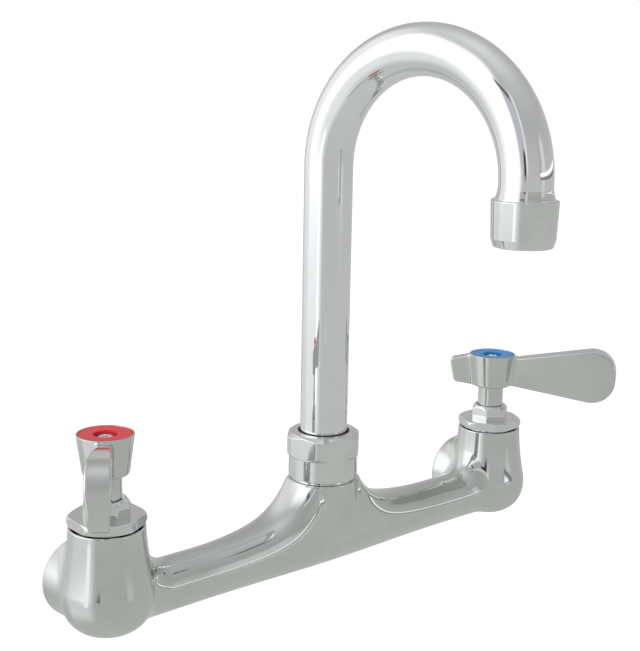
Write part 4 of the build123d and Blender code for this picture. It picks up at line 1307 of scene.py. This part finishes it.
def make_finishes(colours):
    """Every material of the faucet."""
    make_effects()
    metals = {
        # name: clean colour, filmed colour, least roughness, most roughness, film scale, ripple depth
        # The three chromes share one plating; cast is darkened and drawn lightened as painted shade and
        # painted light.
        "cast chrome": (colours.cast_chrome, colours.cast_haze, 0.05, 0.10, 45.0, 3e-5),
        "turned chrome": (colours.turned_chrome, colours.turned_haze, 0.04, 0.08, 90.0, 6e-6),
        "drawn chrome": (colours.drawn_chrome, colours.drawn_haze, 0.03, 0.06, 30.0, 6e-6),
        "bright steel": (colours.steel, colours.steel, 0.16, 0.28, 400.0, 1e-5),
        "machined brass": (colours.brass, colours.brass, 0.22, 0.32, 500.0, 1e-5),
    }
    for name, (clean, filmed, smooth, hazy, scale, depth) in metals.items():
        Finish(name, clean, smooth, 1.0).film(clean, filmed, smooth, hazy, scale, depth)
    plain = {
        # name: colour, least roughness, most roughness, film scale, ripple depth
        "red plastic": (colours.red, 0.18, 0.30, 300.0, 1e-5),
        "blue plastic": (colours.blue, 0.18, 0.30, 300.0, 1e-5),
        "grey plastic": (colours.plastic, 0.35, 0.5, 500.0, 1e-5),
        "black rubber": (colours.rubber, 0.5, 0.7, 900.0, 2e-5),
        "lapped ceramic": (colours.ceramic, 0.12, 0.2, 400.0, 4e-6),
        "white packing": (colours.packing, 0.4, 0.55, 700.0, 2e-5),
    }
    for name, (base, smooth, hazy, scale, depth) in plain.items():
        finish = Finish(name, base, smooth)
        if name in ("red plastic", "blue plastic"):
            finish.shader.inputs["Specular IOR Level"].default_value = index_ring_gloss
        filmed = tuple(film_keeps * c + film_adds for c in base)
        finish.film(base, filmed, smooth, hazy, scale, depth)


finish_of_slot = {
    "polished_chrome": "turned chrome",
    "hot_red": "red plastic",
    "cold_blue": "blue plastic",
    "screw_steel": "bright steel",
    "plain_brass": "machined brass",
    "black_rubber": "black rubber",
    "ceramic": "lapped ceramic",
    "white_packing": "white packing",
    "grey_plastic": "grey plastic",
}


def dress_inner_pieces():
    """Give every carried-over CAD node its finish."""
    for entry in frame["record"]["subparts"]:
        node = frame["nodes"][entry["node"]]
        node.data.materials.clear()
        node.data.materials.append(bpy.data.materials[finish_of_slot[entry["material_slot"]]])


# ---- Stage ----

camera_place = (-0.31818, -0.38130, 0.18711)
lamp_target = (0.0, -0.05, 0.08)
softboxes = (
    # name, place, width, height, power in watts
    ("top softbox", (-0.2, -0.5, 1.1), 0.9, 0.7, 5.0),
    ("left softbox", (-1.0, -0.5, 0.4), 0.6, 0.9, 4.0),
)
floor_half_width = 6.0
floor_glow = 0.75  # what the camera sees the floor give off


def add_camera(settings):
    """The photograph's camera."""
    data = bpy.data.cameras.new("camera")
    data.lens = settings.lens
    data.sensor_width = 36
    camera = bpy.data.objects.new("camera", data)
    bpy.context.scene.collection.objects.link(camera)
    forward = Vector(
        (
            math.sin(settings.heading) * math.cos(settings.pitch),
            math.cos(settings.heading) * math.cos(settings.pitch),
            -math.sin(settings.pitch),
        )
    )
    right = Vector((math.cos(settings.heading), -math.sin(settings.heading), 0))
    up = right.cross(forward)
    right, up = (
        math.cos(settings.roll) * right + math.sin(settings.roll) * up,
        math.cos(settings.roll) * up - math.sin(settings.roll) * right,
    )
    turn = Matrix((right, up, -forward)).transposed()
    camera.matrix_world = Matrix.Translation(camera_place) @ turn.to_4x4()
    bpy.context.scene.camera = camera


def seen_by_camera(tree):
    """1 for the camera's rays and 0 for the rest."""
    return tree.nodes.new("ShaderNodeLightPath").outputs["Is Camera Ray"]


def make_panel_effect():
    """A soft-edged rectangle in the directions round the object."""
    tree = bpy.data.node_groups.new("Studio panel", "ShaderNodeTree")
    places = ("Heading", "Elevation", "Middle heading", "Middle elevation")
    for key in (*places, "Half width", "Half height", "Softness"):
        tree.interface.new_socket(key, in_out="INPUT", socket_type="NodeSocketFloat")
    tree.interface.new_socket("Mask", in_out="OUTPUT", socket_type="NodeSocketFloat")
    start, end = tree.nodes.new("NodeGroupInput"), tree.nodes.new("NodeGroupOutput")

    def step(operation, *values):
        node = tree.nodes.new("ShaderNodeMath")
        node.operation = operation
        for socket, value in zip(node.inputs, values):
            if isinstance(value, bpy.types.NodeSocket):
                tree.links.new(value, socket)
            else:
                socket.default_value = value
        return node.outputs[0]

    masks = []
    for key, middle_key, half_key in (
        ("Heading", "Middle heading", "Half width"),
        ("Elevation", "Middle elevation", "Half height"),
    ):
        off = step("SUBTRACT", start.outputs[key], start.outputs[middle_key])
        off = step("ABSOLUTE", step("WRAP", off, math.pi, -math.pi))
        inside = step("SUBTRACT", start.outputs[half_key], off)
        node = tree.nodes.new("ShaderNodeMapRange")
        node.interpolation_type = "SMOOTHSTEP"
        tree.links.new(inside, node.inputs["Value"])
        tree.links.new(step("MULTIPLY", start.outputs["Softness"], -1.0), node.inputs["From Min"])
        tree.links.new(start.outputs["Softness"], node.inputs["From Max"])
        masks.append(node.outputs["Result"])
    tree.links.new(step("MULTIPLY", *masks), end.inputs["Mask"])


studio_panels = (
    # middle heading, middle elevation, half width, half height, softness, shade
    (-131, 20, 54, 34, 18, (0.98, 0.98, 0.98)),
    (-108, 20, 32, 30, 13, (1.55, 1.57, 1.62)),
    (-106, -24, 34, 16, 14, (0.88, 0.89, 0.90)),
    (24, 8, 8, 14, 5, (0.74, 0.74, 0.74)),
    (9, 12, 4, 12, 4, (0.46, 0.46, 0.45)),
    (-46, 22, 3.5, 22, 3, (0.86, 0.86, 0.86)),
    (-63, 19, 9, 17, 4, (0.56, 0.56, 0.62)),
    (-65, 38, 11, 2.5, 2, (0.10, 0.11, 0.11)),
    (-54, 4, 4, 6, 2.5, (0.03, 0.03, 0.03)),
    (49, 1.3, 40, 0.9, 0.5, (1.50, 1.50, 1.52)),
    (49, -1.1, 40, 0.8, 0.4, (0.22, 0.23, 0.23)),
    (-84, 14, 5, 30, 1.5, (1.30, 1.31, 1.34)),
)
room_shades = (
    # elevation, shade
    (-90, (0.60, 0.615, 0.595)),
    (-30, (0.565, 0.58, 0.56)),
    (0, (0.56, 0.565, 0.555)),
    (30, (0.48, 0.485, 0.48)),
    (55, (0.56, 0.565, 0.565)),
    (85, (0.78, 0.785, 0.79)),
)


def add_world():
    """A studio of soft panels for the metal to mirror, and plain white for the camera."""
    make_panel_effect()
    world = bpy.data.worlds.new("studio")
    bpy.context.scene.world = world
    world.use_nodes = True
    tree = world.node_tree
    direction = tree.nodes.new("ShaderNodeTexCoord").outputs["Generated"]
    parts = tree.nodes.new("ShaderNodeSeparateXYZ")
    tree.links.new(direction, parts.inputs[0])
    towards = tree.nodes.new("ShaderNodeMath")
    towards.operation = "MULTIPLY"
    towards.inputs[1].default_value = -1
    tree.links.new(parts.outputs["Y"], towards.inputs[0])
    heading = tree.nodes.new("ShaderNodeMath")
    heading.operation = "ARCTAN2"
    tree.links.new(parts.outputs["X"], heading.inputs[0])
    tree.links.new(towards.outputs[0], heading.inputs[1])
    elevation = tree.nodes.new("ShaderNodeMath")
    elevation.operation = "ARCSINE"
    tree.links.new(parts.outputs["Z"], elevation.inputs[0])
    room = tree.nodes.new("ShaderNodeValToRGB")
    stops = room.color_ramp.elements
    while len(stops) < len(room_shades):
        stops.new(1.0)
    for stop, (angle, stop_shade) in zip(stops, room_shades):
        stop.position = 0.5 + angle / 180
        stop.color = (*stop_shade, 1)
    tree.links.new(mapped(tree, elevation.outputs[0], -math.pi / 2, math.pi / 2, 0.0, 1.0), room.inputs[0])
    shade = room.outputs[0]
    for *angles, panel_shade in studio_panels:
        node = tree.nodes.new("ShaderNodeGroup")
        node.node_tree = bpy.data.node_groups["Studio panel"]
        tree.links.new(heading.outputs[0], node.inputs["Heading"])
        tree.links.new(elevation.outputs[0], node.inputs["Elevation"])
        for socket, angle in zip(list(node.inputs)[2:], angles):
            socket.default_value = math.radians(angle)
        colour_node = tree.nodes.new("ShaderNodeRGB")
        colour_node.outputs[0].default_value = (*panel_shade, 1)
        shade = mixed(tree, node.outputs["Mask"], shade, colour_node.outputs[0])
    white = tree.nodes.new("ShaderNodeRGB")
    white.outputs[0].default_value = (1, 1, 1, 1)
    shade = mixed(tree, seen_by_camera(tree), shade, white.outputs[0])
    tree.links.new(shade, tree.nodes["Background"].inputs["Color"])


def add_lamp(name, place, wide, tall, power):
    """A soft rectangular lamp that faces the faucet."""
    data = bpy.data.lights.new(name, "AREA")
    data.shape = "RECTANGLE"
    data.size, data.size_y = wide, tall
    data.energy = power
    lamp = bpy.data.objects.new(name, data)
    bpy.context.scene.collection.objects.link(lamp)
    lamp.location = place
    lamp.rotation_mode = "QUATERNION"
    lamp.rotation_quaternion = (Vector(lamp_target) - Vector(place)).to_track_quat("-Z", "Y")
    lamp.visible_camera = False
    lamp.visible_glossy = False


def add_floor(settings):
    """A plain pale floor that keeps the shadow."""
    mesh = bpy.data.meshes.new("floor")
    half = floor_half_width
    z = -settings.floor_drop
    corners = [(-half, -half, z), (half, -half, z), (half, half, z), (-half, half, z)]
    mesh.from_pydata(corners, [], [(0, 1, 2, 3)])
    material = bpy.data.materials.new("floor")
    material.use_nodes = True
    tree = material.node_tree
    shader = tree.nodes["Principled BSDF"]
    shader.inputs["Base Color"].default_value = (*settings.floor_shade, 1)
    shader.inputs["Roughness"].default_value = 0.8
    shader.inputs["Specular IOR Level"].default_value = 0.0
    shader.inputs["Emission Color"].default_value = (1, 1, 1, 1)
    seen = seen_by_camera(tree)
    tree.links.new(mapped(tree, seen, 0.0, 1.0, 0.0, floor_glow), shader.inputs["Emission Strength"])
    mesh.materials.append(material)
    floor = bpy.data.objects.new("floor", mesh)
    bpy.context.scene.collection.objects.link(floor)
    floor.visible_glossy = False


# ---- Operators ----


class FAUCET_OT_finishes(bpy.types.Operator):
    """Make every finish and give the inner pieces theirs"""

    bl_idname = "faucet.finishes"
    bl_label = "Finishes"

    def execute(self, context):
        make_finishes(context.scene.faucet_finish)
        dress_inner_pieces()
        return {"FINISHED"}


class FAUCET_OT_casting(bpy.types.Operator):
    """Build the body casting and its inlet threads"""

    bl_idname = "faucet.casting"
    bl_label = "Body casting"

    def execute(self, context):
        build_casting(context.scene.faucet_casting)
        build_threads(context.scene.faucet_casting)
        return {"FINISHED"}


class FAUCET_OT_nuts(bpy.types.Operator):
    """Build the swivel nut, the lock nuts and the packing nuts"""

    bl_idname = "faucet.nuts"
    bl_label = "Nuts"

    def execute(self, context):
        build_swivel_nut(context.scene.faucet_nut)
        for name, side in sides.items():
            build_valve_nuts(name, side, context.scene.faucet_nut, context.scene.faucet_casting.column_top)
        return {"FINISHED"}


class FAUCET_OT_spout(bpy.types.Operator):
    """Build the gooseneck and its outlet"""

    bl_idname = "faucet.spout"
    bl_label = "Spout"

    def execute(self, context):
        build_tube(context.scene.faucet_spout)
        build_outlet(context.scene.faucet_spout)
        build_insert(context.scene.faucet_spout)
        return {"FINISHED"}


class FAUCET_OT_handles(bpy.types.Operator):
    """Build both levers with their index rings and screws"""

    bl_idname = "faucet.handles"
    bl_label = "Handles"

    def execute(self, context):
        for name, side in sides.items():
            build_handle(name, side, context.scene.faucet_handle)
        return {"FINISHED"}


class FAUCET_OT_stage(bpy.types.Operator):
    """Set the camera, the light and the floor"""

    bl_idname = "faucet.stage"
    bl_label = "Stage"

    def execute(self, context):
        settings = context.scene.faucet_stage
        context.scene.view_settings.view_transform = "Standard"
        add_camera(settings)
        add_world()
        add_floor(settings)
        for lamp in softboxes:
            add_lamp(*lamp)
        return {"FINISHED"}


class FAUCET_PT_sidebar(bpy.types.Panel):
    """Lists the faucet's pieces in the order in which they are built"""

    bl_label = "Wall faucet"
    bl_space_type = "VIEW_3D"
    bl_region_type = "UI"
    bl_category = "Faucet"

    def draw(self, context):
        for operator in operators:
            self.layout.operator(operator.bl_idname)
        for group in settings_groups:
            box = self.layout.box()
            settings = getattr(context.scene, group)
            for key in settings.bl_rna.properties.keys():
                if key not in ("rna_type", "name"):
                    box.prop(settings, key)


operators = (
    FAUCET_OT_finishes,
    FAUCET_OT_casting,
    FAUCET_OT_nuts,
    FAUCET_OT_spout,
    FAUCET_OT_handles,
    FAUCET_OT_stage,
)
settings_groups = {
    "faucet_casting": CastingSizes,
    "faucet_nut": NutSizes,
    "faucet_spout": SpoutSizes,
    "faucet_handle": HandleSizes,
    "faucet_finish": FinishColours,
    "faucet_stage": StageSettings,
}
classes = (*settings_groups.values(), *operators, FAUCET_PT_sidebar)


def register():
    """Register the classes and hang the settings on the scene."""
    for cls in classes:
        bpy.utils.register_class(cls)
    for key, group in settings_groups.items():
        setattr(bpy.types.Scene, key, PointerProperty(type=group))


def unregister():
    """Undo register."""
    for key in settings_groups:
        delattr(bpy.types.Scene, key)
    for cls in reversed(classes):
        bpy.utils.unregister_class(cls)


def main():
    """Build the whole faucet."""
    register()
    for operator in operators:
        group, name = operator.bl_idname.split(".")
        getattr(getattr(bpy.ops, group), name)()


if __name__ == "__main__":
    main()
